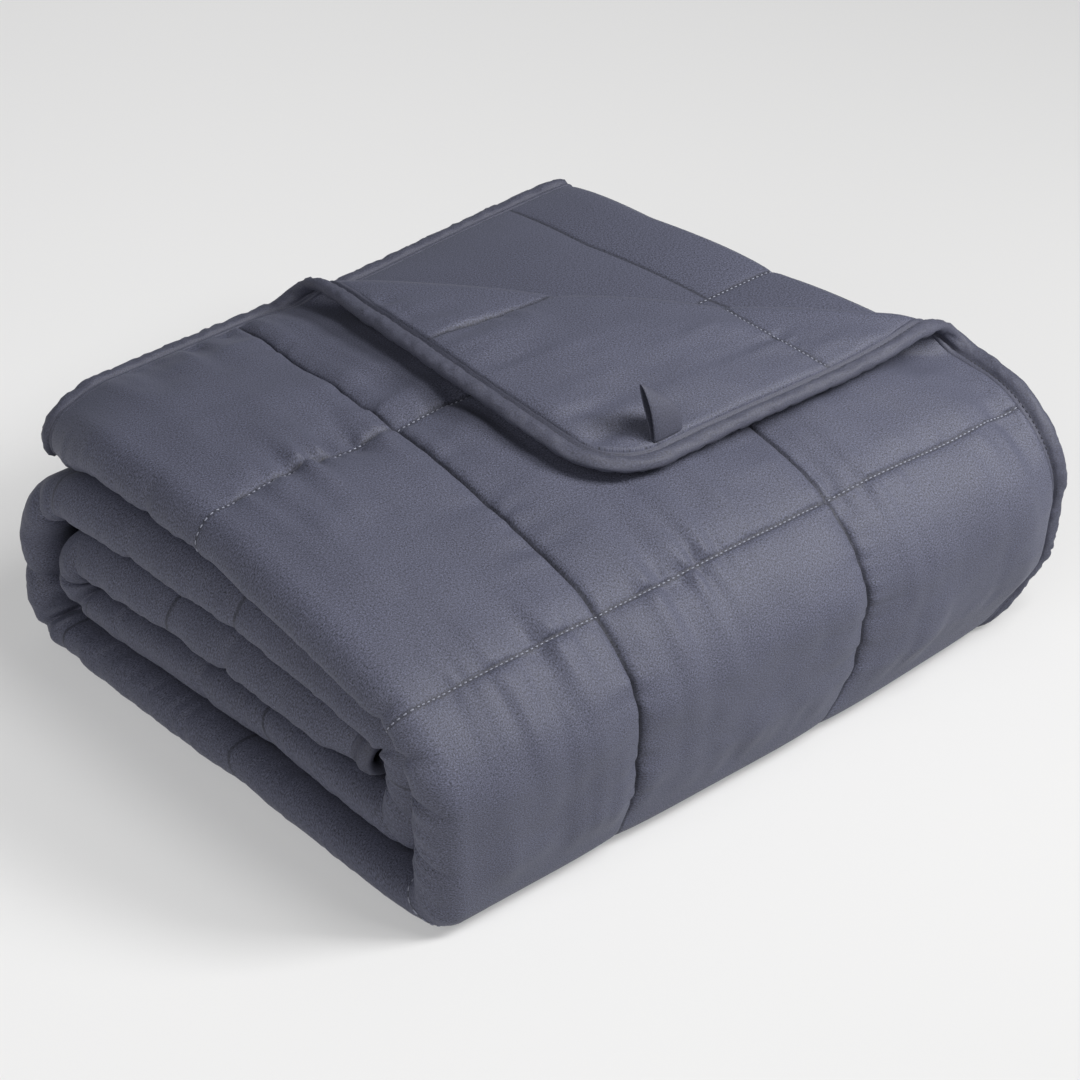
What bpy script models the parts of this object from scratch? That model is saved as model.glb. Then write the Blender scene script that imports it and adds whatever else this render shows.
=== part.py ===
"""A quilted weighted blanket, folded in thirds across and wound flat along.

The blanket is one flat sheet of quilted squares with a bound edge. Every
point of it has flat coordinates: across (from the side edge that ends up on
top at the right), along (from the end that ends up on top at the back) and
rise (height over the middle of the sheet). Three steps lay it down:

1. turn_corner  turns one corner back over the top layer;
2. fold_across  folds the width back and forth in three layers;
3. wind_along   winds the three layers flat, in five passes.

settle then gives the pile its low crown and its flat underside.
Depth runs from the back of the pile to its front. All sizes are in metres.
"""
import math

import bmesh
import bpy
import numpy as np
from mathutils import Vector

# Flat blanket
SQUARE = 0.1524             # one quilted square, seam to seam
COLUMNS = 7.5               # squares across; the last, hidden column is narrow
ROWS = 12                   # squares along
FLAT_WIDTH = COLUMNS * SQUARE
FLAT_LENGTH = ROWS * SQUARE
CORNER_RADIUS = 0.026       # rounding of the blanket's corners, flat
PUFF_HALF = 0.00462         # half the thickness in the middle of a square
SEAM_HALF = 0.0012          # half the thickness on a seam and at the rim
PUFF_RUN = 0.28 * SQUARE    # from a seam to the full thickness
OUTER_PUFF = 0.0020         # squares that lie free stand up by this much more
FREE_FADE = 0.2 * SQUARE    # over this length at the end of the free cloth
FOLD_SQUEEZE = 0.28         # share of the thickness lost in the right fold
FOLD_FILL = 0.5             # share of the puff that seams across the left fold keep
CORE_SQUEEZE = 0.25         # the same where the winding starts, inside
FINE_SQUARES = 3            # rows and columns of squares that show
FINE_SHARES = (0.06, 0.18, 0.5, 0.82, 0.94)     # mesh lines in such a square
FLOOR_ROWS = (3, 4)         # rows of squares that the pile rests on
FLOOR_SHARES = (0.22, 0.78)
LEAST_SPACING = 0.045 * SQUARE

# Folded pile
HEIGHT = 1.0 * SQUARE       # of the wound layers, before the crown
LAYERS_PER_PASS = 3
LAYERS = 15                 # five passes of the winding
PITCH = HEIGHT / LAYERS     # from one layer to the next
PASS = LAYERS_PER_PASS * PITCH
FACE = 2.23 * SQUARE        # depth of the front face
BACK = -0.01 * SQUARE       # depth of the hindmost bend
LEFT_REACH = 2.78 * SQUARE  # from the right side edge to the left ridge
RIGHT_FOLD = 0.32 * SQUARE  # the hidden right fold lies in by this much
THIRD_EDGE = 2.50 * SQUARE  # side edge of the third layer, from the right
TOP_LAYER_LIMIT = 2.0 * SQUARE    # only cloth nearer than this is turned back
LEFT_FOLD_RADIUS = 0.95 * PITCH
RIGHT_FOLD_RADIUS = 0.50 * PITCH
LEFT_FOLD_TAPER = 0.20 * SQUARE   # where layer 2 comes back up to its level
EDGE_DROOP = 0.9 * PITCH    # how far the free right edge hangs
EDGE_DROOP_RUN = 0.28 * SQUARE
UPPER_END = 2.3 * SQUARE    # along: the droop fades out from here
UPPER_FADE = 0.5 * SQUARE
CORNER_SAG = 0.03 * SQUARE  # how far the left corner at the back hangs
CORNER_SPREAD = 0.22        # share by which its fold opens up
CORNER_RUN = (0.28 * SQUARE, 0.46 * SQUARE)    # reach of both, across and along
LOWER_LAYER_STEP = 0.3      # share of the right edge's step that layers 2 and 3 take
LAYER_SLIP = (0.15 * SQUARE, 0.06 * SQUARE)    # layers 2 and 3 end behind layer 1, right and left
SLIP_TURN = (0.4 * SQUARE, 1.8 * SQUARE)       # from the first to the second of these
SLIP_RUN = 1.5 * SQUARE
CROWN_DEPTH = 0.73 * SQUARE # depth of the highest line of the pile
CROWN_RADIUS = 4.1 * SQUARE
FLOOR_PRESS = 0.0012        # how much the underside is pressed flat
FOOT_TUCK = 0.06 * SQUARE   # the foot of the front face draws back at the right
FOOT_RUN = (1.3 * SQUARE, 1.1 * SQUARE, 0.5 * SQUARE)    # across, deep and high

# Corners of the winding: radius for the outer face of the pass, and the
# least radius that an inner layer may have.
WIND_CORNERS = (
    # side before, side after, radius, least radius
    ("top", "front", 0.345 * SQUARE, 1.0 * PITCH),
    ("front", "bottom", 0.12 * SQUARE, 0.9 * PITCH),
    ("bottom", "back", 3.2 * PITCH, 0.9 * PITCH),
    ("back", "top", 5.0 * PITCH, 0.9 * PITCH),
    ("top", "front", 3.0 * PITCH, 0.9 * PITCH),
    ("front", "bottom", 1.8 * PITCH, 0.9 * PITCH),
    ("bottom", "back", 3.0 * PITCH, 0.1 * PITCH),
    ("back", "top", 3.0 * PITCH, 0.1 * PITCH),
)
THIRD_PASS_END = 1.79 * SQUARE   # depth where the inner end of the blanket lies

# How far the left ridge steps out (+), and how far the side edge of the first
# layer lies in from the right, by squares along the winding.
SIDE_STEPS = (
    # squares along, left ridge out, right edge in, both in squares
    (0.0, -0.05, 0.00),
    (0.5, 0.00, 0.00),
    (2.4, 0.00, 0.00),
    (2.7, 0.00, 0.06),
    (2.85, 0.00, 0.16),
    (3.0, 0.01, 0.32),
    (4.9, 0.06, 0.30),
    (5.6, 0.08, 0.26),
    (6.2, 0.05, 0.26),
    (7.4, -0.03, 0.22),
    (8.3, -0.05, 0.20),
    (9.6, 0.01, 0.24),
    (10.3, 0.07, 0.28),
    (11.2, 0.01, 0.27),
    (12.0, -0.04, 0.26),
)

# How far the right fold lies in beyond RIGHT_FOLD, by squares along.
FOLD_STEPS = (
    (0.0, 0.00),
    (0.9, 0.00),
    (1.6, -0.08),
    (2.2, 0.00),
)

# Turned-back corner
CREASE_ACROSS = 1.845 * SQUARE    # crease meets the end edge here
CREASE_ALONG = 1.755 * SQUARE    # crease meets the side edge here
CREASE_RADIUS = 0.0087
CREASE_PULL = (0.10 * SQUARE, 0.15 * SQUARE)    # pull on its middle, across and along
CREASE_HOLD = 0.70 * SQUARE      # cloth ahead of the crease that gives way to it
FLAP_BOW = 0.0015                # the flap's middle stands this much higher
FLAP_SLIDE = (-0.04 * SQUARE, -0.14 * SQUARE)   # its tip lies off by this
FLAP_SPREAD = (0.22 * SQUARE, 0.05 * SQUARE)    # its edges lie further apart by this

# Binding
BINDING_WIDTH = 0.0115
BINDING_GAP = 0.0003
BINDING_PROFILE = (
    # share of the width from the body outwards, half thickness
    (0.00, 0.0012),
    (0.30, 0.0024),
    (0.75, 0.0022),
    (1.00, 0.0009),
)

# Corner loop
LOOP_ALONG = 0.045          # from the blanket's corner to the loop's middle
LOOP_TAPE_WIDTH = 0.013
LOOP_TAPE_THICK = 0.0014
LOOP_HEIGHT = 0.028
LOOP_OPEN = 0.0060          # clear width between its two legs
LOOP_STEPS = 6
LOOP_INSET = 0.0022         # from the binding to the middle of its foot
LOOP_GAP = 0.0009           # its foot clears the cloth below it

# Middle of the finished pile, from its right side edge and from the hindmost
# line of the first layer. It becomes the origin in plan.
CENTRE_ACROSS = 0.2194
CENTRE_DEPTH = 0.15925

SLATE = (0.135, 0.145, 0.185, 1.0)


# ---------------------------------------------------------------- winding
def side_line(side, turn, inward):
    """Place of one straight run, at a distance in from its outer face."""
    if side == "top":
        return HEIGHT - PASS * turn - inward
    if side == "front":
        return FACE - PASS * turn - inward
    if side == "bottom":
        return PASS * turn + inward
    return BACK + PASS * turn + inward


def winding(inward):
    """Runs and corners of the winding, for layers that far in.

    Each entry is (kind, start depth, start height, end depth, end height,
    centre depth, centre height, radius, start angle), one array a value.
    Angles turn from straight forward (0) through down to back (180).
    """
    turn = {"top": 0, "front": 0, "bottom": 0, "back": 0}
    entries = []
    depth, height = np.zeros_like(inward), side_line("top", 0, inward)
    angle = 0.0
    for before, after, radius, least in WIND_CORNERS:
        reach = np.maximum(radius - inward, least)
        line_before = side_line(before, turn[before], inward)
        turn[before] += 1
        line_after = side_line(after, turn[after], inward)
        if before in ("top", "bottom"):
            sign = 1.0 if before == "top" else -1.0
            end_depth, end_height = line_after - sign * reach, line_before
            centre_depth, centre_height = end_depth, end_height - sign * reach
        else:
            sign = 1.0 if before == "front" else -1.0
            end_depth, end_height = line_before, line_after + sign * reach
            centre_depth, centre_height = end_depth - sign * reach, end_height
        entries.append(("run", depth, height, end_depth, end_height))
        entries.append(("turn", centre_depth, centre_height, reach, angle))
        angle += 0.5 * math.pi
        depth = centre_depth + reach * math.sin(angle)
        height = centre_height + reach * math.cos(angle)
    last = np.full_like(inward, THIRD_PASS_END)
    entries.append(("run", depth, height, last, height))
    return entries


def entry_lengths():
    """Length of each run and corner in the middle of the outermost layer."""
    lengths = []
    for entry in winding(np.array([0.5 * PITCH])):
        if entry[0] == "run":
            lengths.append(float(abs(entry[3] - entry[1])[0] + abs(entry[4] - entry[2])[0]))
        else:
            lengths.append(float(entry[3][0]) * 0.5 * math.pi)
    return lengths


def entry_starts():
    """Distance along the flat blanket at which each run and corner starts.

    Up to the foot of the front face the cloth lies at its true length. The
    runs inside the pile take the rest of the cloth between them.
    """
    lengths = entry_lengths()
    true_part = sum(lengths[:4])
    ease = (FLAT_LENGTH - true_part) / (sum(lengths) - true_part)
    starts = [0.0]
    for number, length in enumerate(lengths):
        starts.append(starts[-1] + length * (1.0 if number < 4 else ease))
    return starts


STARTS = entry_starts()


def wind_along(along, inward):
    """Depth and height of points that lie in from the outer face."""
    depth = np.zeros_like(along)
    height = np.zeros_like(along)
    entries = winding(inward)
    last = len(entries) - 1
    for number, entry in enumerate(entries):
        start, end = STARTS[number], STARTS[number + 1]
        here = (along >= start) if number else np.ones(len(along), bool)
        if number < last:
            here &= along < end
        if not here.any():
            continue
        share = (along[here] - start) / (end - start)
        if entry[0] == "run":
            d0, h0, d1, h1 = (value[here] for value in entry[1:])
            depth[here] = d0 + (d1 - d0) * share
            height[here] = h0 + (h1 - h0) * share
        else:
            centre_depth, centre_height, reach = (value[here] for value in entry[1:4])
            angle = entry[4] + 0.5 * math.pi * share
            depth[here] = centre_depth + reach * np.sin(angle)
            height[here] = centre_height + reach * np.cos(angle)
    return depth, height


# ---------------------------------------------------------------- folding
def smooth(share):
    """Soft step from 0 to 1."""
    share = np.clip(share, 0.0, 1.0)
    return share * share * (3.0 - 2.0 * share)


LEFT_TURN = LEFT_REACH - LEFT_FOLD_RADIUS
RIGHT_TURN = RIGHT_FOLD + RIGHT_FOLD_RADIUS
LEFT_START = LEFT_TURN
LEFT_END = LEFT_START + math.pi * LEFT_FOLD_RADIUS
RIGHT_START = LEFT_END + LEFT_TURN - RIGHT_TURN
RIGHT_END = RIGHT_START + math.pi * RIGHT_FOLD_RADIUS
THIRD_EASE = (FLAT_WIDTH - RIGHT_END) / (THIRD_EDGE - RIGHT_TURN)


def fold_across(across, rise):
    """Distance from the right side edge and inward depth of folded points."""
    from_right = across.copy()
    middle = np.full_like(across, 0.5 * PITCH)
    lean = np.zeros_like(across)       # 0 facing out, pi facing in

    fold = (across >= LEFT_START) & (across < LEFT_END)
    lean[fold] = (across[fold] - LEFT_START) / LEFT_FOLD_RADIUS
    from_right[fold] = LEFT_TURN + LEFT_FOLD_RADIUS * np.sin(lean[fold])
    middle[fold] = 0.5 * PITCH + LEFT_FOLD_RADIUS * (1.0 - np.cos(lean[fold]))

    second = (across >= LEFT_END) & (across < RIGHT_START)
    gone = across[second] - LEFT_END
    lean[second] = math.pi
    from_right[second] = LEFT_TURN - gone
    low = 0.5 * PITCH + 2.0 * LEFT_FOLD_RADIUS
    middle[second] = low + (1.5 * PITCH - low) * smooth(gone / LEFT_FOLD_TAPER)

    fold = (across >= RIGHT_START) & (across < RIGHT_END)
    turned = (across[fold] - RIGHT_START) / RIGHT_FOLD_RADIUS
    lean[fold] = math.pi - turned
    from_right[fold] = RIGHT_TURN - RIGHT_FOLD_RADIUS * np.sin(turned)
    middle[fold] = 1.5 * PITCH + RIGHT_FOLD_RADIUS * (1.0 - np.cos(turned))

    third = across >= RIGHT_END
    from_right[third] = RIGHT_TURN + (across[third] - RIGHT_END) / THIRD_EASE
    middle[third] = 2.5 * PITCH

    from_right = from_right + rise * np.sin(lean)
    return from_right, middle - rise * np.cos(lean)


def crease_line():
    """Direction from the corner to the crease, and the distance to it."""
    inward = np.array([1.0 / CREASE_ACROSS, 1.0 / CREASE_ALONG])
    size = float(np.hypot(*inward))
    return inward / size, 1.0 / size


def past_crease(across, along):
    """Distance of flat points past the crease, towards the corner."""
    inward, distance = crease_line()
    return distance - (across * inward[0] + along * inward[1])


def turn_corner(across, along, rise):
    """Roll the corner back over the crease; returns places and lift."""
    inward, distance = crease_line()
    past = past_crease(across, along)
    angle = np.clip(past / CREASE_RADIUS, 0.0, math.pi)
    flat_past = np.minimum(past, 0.0)
    over = np.maximum(past - math.pi * CREASE_RADIUS, 0.0)
    longest = distance - math.pi * CREASE_RADIUS
    reach = CREASE_RADIUS * np.sin(angle) - over - rise * np.sin(angle) + flat_past
    bow = FLAP_BOW * np.sin(math.pi * np.clip(over / longest, 0.0, 1.0))
    lift = CREASE_RADIUS * (1.0 - np.cos(angle)) + rise * np.cos(angle) + bow
    beside = across * inward[1] - along * inward[0]
    ends = CREASE_ACROSS * inward[1], -CREASE_ALONG * inward[0]
    share = (beside - ends[1]) / (ends[0] - ends[1])
    bulge = 4.0 * np.clip(share * (1.0 - share), 0.0, None)
    pull = bulge * smooth(1.0 + past / CREASE_HOLD)
    shift = past - reach
    turned = smooth(over / longest)
    aside = 2.0 * share - 1.0
    new_across = across + inward[0] * shift + CREASE_PULL[0] * pull
    new_across = new_across + (FLAP_SLIDE[0] + FLAP_SPREAD[0] * aside) * turned
    new_along = along + inward[1] * shift + CREASE_PULL[1] * pull
    new_along = new_along + (FLAP_SLIDE[1] + FLAP_SPREAD[1] * aside) * turned
    return new_across, new_along, lift


def place(across, along, rise):
    """World points of flat points, rise being height over the sheet."""
    top = turn_corner(across, along, rise)
    on_top = across < TOP_LAYER_LIMIT
    new_across = np.where(on_top, top[0], across)
    new_along = np.where(on_top, top[1], along)
    rise = np.where(on_top, top[2], rise)
    from_right, inward = fold_across(new_across, rise)

    layer_two = smooth((new_across - LEFT_END) / SQUARE)
    fade = 1.0 - smooth(new_along / SLIP_RUN)
    to_left = smooth((from_right - SLIP_TURN[0]) / (SLIP_TURN[1] - SLIP_TURN[0]))
    slip = (LAYER_SLIP[0] + (LAYER_SLIP[1] - LAYER_SLIP[0]) * to_left) * layer_two * fade

    hang = 1.0 - smooth(from_right / EDGE_DROOP_RUN)
    upper = 1.0 - smooth((new_along - UPPER_END) / UPPER_FADE)
    first_layer = new_across < LEFT_START
    droop = np.where(first_layer, EDGE_DROOP * hang * upper, 0.0)

    steps = np.array(SIDE_STEPS) * SQUARE
    step_out = np.interp(new_along, steps[:, 0], steps[:, 1])
    step_in = np.interp(new_along, steps[:, 0], steps[:, 2])
    from_right = from_right + step_out * smooth(from_right / LEFT_REACH)
    share = np.clip(1.0 - from_right / LEFT_REACH, 0.0, 1.0)
    steps = np.array(FOLD_STEPS) * SQUARE
    fold_in = np.interp(new_along, steps[:, 0], steps[:, 1])
    from_right = from_right + share * np.where(first_layer, step_in, LOWER_LAYER_STEP * step_in + fold_in)

    to_left = smooth(1.0 - (LEFT_REACH - from_right) / CORNER_RUN[0])
    to_back = smooth(1.0 - new_along / CORNER_RUN[1])
    corner = to_left * to_back
    inward = inward * (1.0 + CORNER_SPREAD * corner) + CORNER_SAG * corner

    depth, height = wind_along(new_along, inward + droop)
    return settle(from_right, depth - slip, height)


def settle(from_right, depth, height):
    """Low crown over the pile and a pressed, flat underside."""
    tuck = smooth(1.0 - from_right / FOOT_RUN[0]) * smooth(1.0 + (depth - FACE) / FOOT_RUN[1])
    depth = depth - FOOT_TUCK * tuck * smooth(1.0 - height / FOOT_RUN[2])
    crown = 1.0 - (depth - CROWN_DEPTH) ** 2 / (2.0 * CROWN_RADIUS * HEIGHT)
    height = np.maximum(height * crown - FLOOR_PRESS, 0.0)
    return np.stack([CENTRE_ACROSS - from_right, CENTRE_DEPTH - depth, height], axis=1)


# ---------------------------------------------------------------- quilting
def rise_from(distance):
    """Share of the puff at a distance from a seam."""
    share = np.clip(distance / PUFF_RUN, 0.0, 1.0)
    return np.sqrt(1.0 - (1.0 - share) ** 2)


def seam_distance(place_on_axis, total):
    """Distance to the nearest seam or outer edge of the body."""
    nearest = np.abs(place_on_axis - SQUARE * np.round(place_on_axis / SQUARE))
    to_start = place_on_axis - BINDING_WIDTH
    to_end = total - BINDING_WIDTH - place_on_axis
    return np.clip(np.minimum(nearest, np.minimum(to_start, to_end)), 0.0, None)


def puff_share(across, along):
    """0 on the seams and at the rim, 1 in the middle of a square."""
    from_columns = rise_from(seam_distance(across, FLAT_WIDTH))
    from_rows = rise_from(seam_distance(along, FLAT_LENGTH))
    in_fold = 1.0 - smooth(np.abs(across - 0.5 * (LEFT_START + LEFT_END)) / (0.25 * SQUARE))
    inner = smooth((along - 0.5 * SQUARE) / (0.3 * SQUARE)) * smooth((ROWS * SQUARE - 0.5 * SQUARE - along) / (0.3 * SQUARE))
    return from_columns * np.maximum(from_rows, FOLD_FILL * in_fold * inner)


def quilt_half(across, along):
    """Half the thickness of the quilted cloth."""
    half = SEAM_HALF + (PUFF_HALF - SEAM_HALF) * puff_share(across, along)
    in_fold = 1.0 - smooth(np.abs(across - 0.5 * (RIGHT_START + RIGHT_END)) / (0.12 * SQUARE))
    half = half * (1.0 - FOLD_SQUEEZE * in_fold)
    middle = 0.5 * (STARTS[13] + STARTS[16])
    in_core = 1.0 - smooth((np.abs(along - middle) - 0.25 * SQUARE) / (0.15 * SQUARE))
    return half * (1.0 - CORE_SQUEEZE * in_core * smooth((across - RIGHT_START) / (0.1 * SQUARE)))


def free_puff(across, along, upper):
    """Extra height of a face where no other layer presses on it."""
    past = past_crease(across, along)
    if upper:
        free = smooth(-past / FREE_FADE) * smooth((LEFT_START - across) / FREE_FADE)
        free = free * smooth((STARTS[3] - along) / FREE_FADE)
    else:
        turned = past - math.pi * CREASE_RADIUS
        free = smooth(turned / FREE_FADE) * (across < TOP_LAYER_LIMIT)
    return OUTER_PUFF * puff_share(across, along) * free


def spread(start, end, count):
    """Evenly spaced places from start to end, both included."""
    return list(np.linspace(start, end, count + 1))


def merge_lines(firm, loose, least):
    """Firm places, and those loose ones that aren't too near to them."""
    kept = sorted(firm)
    for value in sorted(loose):
        if min(abs(value - other) for other in kept) > least:
            kept = sorted(kept + [value])
    return kept


def across_lines():
    """Lines of the flat mesh that run along the blanket."""
    firm = [BINDING_WIDTH, FLAT_WIDTH - BINDING_WIDTH]
    firm += spread(LEFT_START, LEFT_END, 5) + spread(RIGHT_START, RIGHT_END, 4)
    firm += [column * SQUARE for column in range(1, int(COLUMNS) + 1)]
    firm += [0.5 * EDGE_DROOP_RUN, EDGE_DROOP_RUN, LEFT_END + LEFT_FOLD_TAPER]
    loose = []
    for column in range(int(math.ceil(COLUMNS))):
        shares = FINE_SHARES if column < FINE_SQUARES else (0.5,)
        loose += [(column + share) * SQUARE for share in shares]
    loose = [value for value in loose if value < FLAT_WIDTH - BINDING_WIDTH]
    return merge_lines(firm, loose, LEAST_SPACING)


def along_lines():
    """Lines of the flat mesh that run across the blanket."""
    firm = [BINDING_WIDTH, FLAT_LENGTH - BINDING_WIDTH]
    firm += [row * SQUARE for row in range(1, ROWS)]
    bends = []
    for number, steps in zip(range(1, 17, 2), (5, 3, 4, 4, 4, 4, 4, 4)):
        bends += spread(STARTS[number], STARTS[number + 1], steps)
    loose = []
    for row in range(ROWS):
        if row < FINE_SQUARES:
            shares = FINE_SHARES
        elif row in FLOOR_ROWS:
            shares = FLOOR_SHARES
        else:
            shares = (0.5,)
        loose += [(row + share) * SQUARE for share in shares]
    return merge_lines(merge_lines(firm, bends, LEAST_SPACING), loose, LEAST_SPACING)


def cut_flat(mesh, point, normal, chosen, drop_outer):
    """Cut the chosen faces of the flat mesh along one straight line."""
    faces = [face for face in mesh.faces if chosen(face.calc_center_median())]
    edges = list({edge for face in faces for edge in face.edges})
    corners = list({corner for face in faces for corner in face.verts})
    bmesh.ops.bisect_plane(
        mesh,
        geom=corners + edges + faces,
        dist=0.0005,
        plane_co=Vector((point[0], point[1], 0.0)),
        plane_no=Vector((normal[0], normal[1], 0.0)),
        clear_outer=drop_outer,
    )


def crease_cuts(mesh):
    """Lines beside and over the crease, so that the roll comes out round."""
    inward, distance = crease_line()
    for past in spread(0.0, math.pi * CREASE_RADIUS, 6):
        cut_flat(
            mesh,
            inward * (distance - past),
            -inward,
            lambda centre: centre.x < TOP_LAYER_LIMIT and centre.y < TOP_LAYER_LIMIT,
            False,
        )


def corner_cuts(mesh):
    """Take off the four corners along short chords of their rounding."""
    inset = BINDING_WIDTH + CORNER_RADIUS
    chords = 4
    for side_x in (0, 1):
        for side_y in (0, 1):
            middle = (
                FLAT_WIDTH - inset if side_x else inset,
                FLAT_LENGTH - inset if side_y else inset,
            )
            for number in range(chords):
                angle = 0.5 * math.pi * (number + 0.5) / chords
                normal = (
                    math.cos(angle) * (1 if side_x else -1),
                    math.sin(angle) * (1 if side_y else -1),
                )
                point = (middle[0] + CORNER_RADIUS * normal[0], middle[1] + CORNER_RADIUS * normal[1])
                cut_flat(
                    mesh,
                    point,
                    normal,
                    lambda centre: abs(centre.x - middle[0]) < 0.09 and abs(centre.y - middle[1]) < 0.09,
                    True,
                )


def flat_body():
    """Flat triangles of the quilted body and its rim, in order."""
    mesh = bmesh.new()
    columns, rows = across_lines(), along_lines()
    grid = [[mesh.verts.new((x, y, 0.0)) for x in columns] for y in rows]
    for low, high in zip(grid[:-1], grid[1:]):
        for left in range(len(columns) - 1):
            mesh.faces.new((low[left], low[left + 1], high[left + 1], high[left]))
    crease_cuts(mesh)
    corner_cuts(mesh)
    bmesh.ops.remove_doubles(mesh, verts=mesh.verts, dist=0.0016)
    bmesh.ops.dissolve_degenerate(mesh, dist=0.0002, edges=mesh.edges)
    bmesh.ops.triangulate(mesh, faces=mesh.faces[:])
    bmesh.ops.recalc_face_normals(mesh, faces=mesh.faces)
    mesh.verts.index_update()
    points = np.array([corner.co[:2] for corner in mesh.verts])
    faces = []
    for face in mesh.faces:
        corners = [corner.index for corner in face.verts]
        a, b, c = (points[index] for index in corners)
        if (b[0] - a[0]) * (c[1] - a[1]) - (b[1] - a[1]) * (c[0] - a[0]) < 0.0:
            corners.reverse()
        faces.append(corners)
    directed = {}
    for corners in faces:
        for start, end in zip(corners, corners[1:] + corners[:1]):
            directed[(start, end)] = True
    follow = {start: end for (start, end) in directed if (end, start) not in directed}
    rim = [min(follow)]
    while follow[rim[-1]] != rim[0]:
        rim.append(follow[rim[-1]])
    mesh.free()
    return points, faces, rim


# ---------------------------------------------------------------- pieces
def cloth(name, colour, roughness):
    """Matt woven cloth."""
    material = bpy.data.materials.new(name)
    material.use_nodes = True
    shader = material.node_tree.nodes["Principled BSDF"]
    shader.inputs["Base Color"].default_value = colour
    shader.inputs["Roughness"].default_value = roughness
    shader.inputs["Metallic"].default_value = 0.0
    return material


def add_piece(name, points, faces, material):
    """One named object from points and faces."""
    mesh = bpy.data.meshes.new(name)
    mesh.from_pydata([tuple(point) for point in points], [], faces)
    mesh.update()
    mesh.shade_smooth()
    mesh.materials.append(material)
    piece = bpy.data.objects.new(name, mesh)
    bpy.context.scene.collection.objects.link(piece)
    return piece


def quilted_body(points, faces, rim, material):
    """Both faces of the quilted cloth, joined round the rim."""
    across, along = points[:, 0], points[:, 1]
    half = quilt_half(across, along)
    upper = place(across, along, half + free_puff(across, along, True))
    lower = place(across, along, -half - free_puff(across, along, False))
    count = len(points)
    solid = [list(face) for face in faces]
    solid += [[index + count for index in reversed(face)] for face in faces]
    for start, end in zip(rim, rim[1:] + rim[:1]):
        solid.append([start, start + count, end])
        solid.append([start + count, end + count, end])
    return add_piece("quilted_body", np.concatenate([upper, lower]), solid, material)


def rim_normals(points, rim):
    """Outward direction at each rim point, for an even width round it."""
    ring = points[rim]
    before = ring - np.roll(ring, 1, axis=0)
    after = np.roll(ring, -1, axis=0) - ring
    before /= np.linalg.norm(before, axis=1)[:, None]
    after /= np.linalg.norm(after, axis=1)[:, None]
    out_before = np.stack([before[:, 1], -before[:, 0]], axis=1)
    out_after = np.stack([after[:, 1], -after[:, 0]], axis=1)
    middle = out_before + out_after
    middle /= np.linalg.norm(middle, axis=1)[:, None]
    return middle / (middle * out_after).sum(axis=1)[:, None]


def edge_binding(points, rim, material):
    """Tape folded over the edge, one closed ring round the blanket."""
    ring, normal = points[rim], rim_normals(points, rim)
    outline = [(share, half) for share, half in BINDING_PROFILE]
    outline += [(share, -half) for share, half in reversed(BINDING_PROFILE)]
    loops = []
    for share, half in outline:
        reach = BINDING_GAP + share * (BINDING_WIDTH - BINDING_GAP)
        flat = ring + normal * reach
        loops.append(place(flat[:, 0], flat[:, 1], np.full(len(rim), half)))
    count, around = len(rim), len(outline)
    faces = []
    for number in range(around):
        other = (number + 1) % around
        for start in range(count):
            end = (start + 1) % count
            a, b = number * count + start, number * count + end
            c, d = other * count + end, other * count + start
            faces += [[a, c, b], [a, d, c]]
    return add_piece("edge_binding", np.concatenate(loops), faces, material)


def corner_loop(material):
    """Folded tape that stands on the turned-back corner, open in the middle."""
    foot_across = BINDING_WIDTH + LOOP_INSET
    spot = np.array([foot_across]), np.array([LOOP_ALONG])
    base = place(*spot, -quilt_half(*spot) - free_puff(*spot, False))[0] + (0.0, 0.0, LOOP_GAP)
    inner, outer = [], []
    for number in range(LOOP_STEPS + 1):
        share = number / LOOP_STEPS
        swell = math.sin(math.pi * share)
        height = LOOP_TAPE_THICK + share * (LOOP_HEIGHT - 2.0 * LOOP_TAPE_THICK)
        inner.append((0.5 * LOOP_OPEN * swell + 0.0003, height))
        outer.append((0.5 * LOOP_OPEN * swell + LOOP_TAPE_THICK, height))
    outer[0] = (outer[0][0], 0.0)
    outer[-1] = (outer[-1][0] * 0.8, LOOP_HEIGHT)
    rings = []
    for half in (outer, inner):
        rings.append(half + [(-y, z) for y, z in reversed(half)])
    points = []
    for x in (-0.5 * LOOP_TAPE_WIDTH, 0.5 * LOOP_TAPE_WIDTH):
        for ring in rings:
            points += [(base[0] + x, base[1] + y, base[2] + z) for y, z in ring]
    count = len(rings[0])
    faces = []
    for start in range(count):
        end = (start + 1) % count
        faces.append([start + count, end + count, end, start])
        faces.append([start + 2 * count, end + 2 * count, end + 3 * count, start + 3 * count])
        faces.append([end, end + 2 * count, start + 2 * count, start])
        faces.append([start + 3 * count, end + 3 * count, end + count, start + count])
    return add_piece("corner_loop", points, faces, material)


def main():
    for thing in list(bpy.data.objects):
        bpy.data.objects.remove(thing, do_unlink=True)
    points, faces, rim = flat_body()
    quilted_body(points, faces, rim, cloth("quilted_cloth", SLATE, 0.75))
    tape = cloth("binding_tape", SLATE, 0.8)
    edge_binding(points, rim, tape)
    corner_loop(tape)


main()
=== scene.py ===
"""A quilted weighted blanket, folded in thirds across and wound flat along.

The cloth is one flat sheet of quilted squares with a bound edge. Every point
of it has flat coordinates: across (from the side edge that ends up on top at
the right), along (from the end that ends up on top at the back) and rise
(height over the middle of the sheet). turn_corner, fold_across and wind_along
lay it down, as in the part's source. The mesh here is much finer, with puffs,
wrinkles, a gathered binding and stitches.
All sizes are in metres.
"""

import math

import bpy
import numpy as np
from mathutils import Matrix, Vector
from mathutils.geometry import delaunay_2d_cdt

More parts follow.
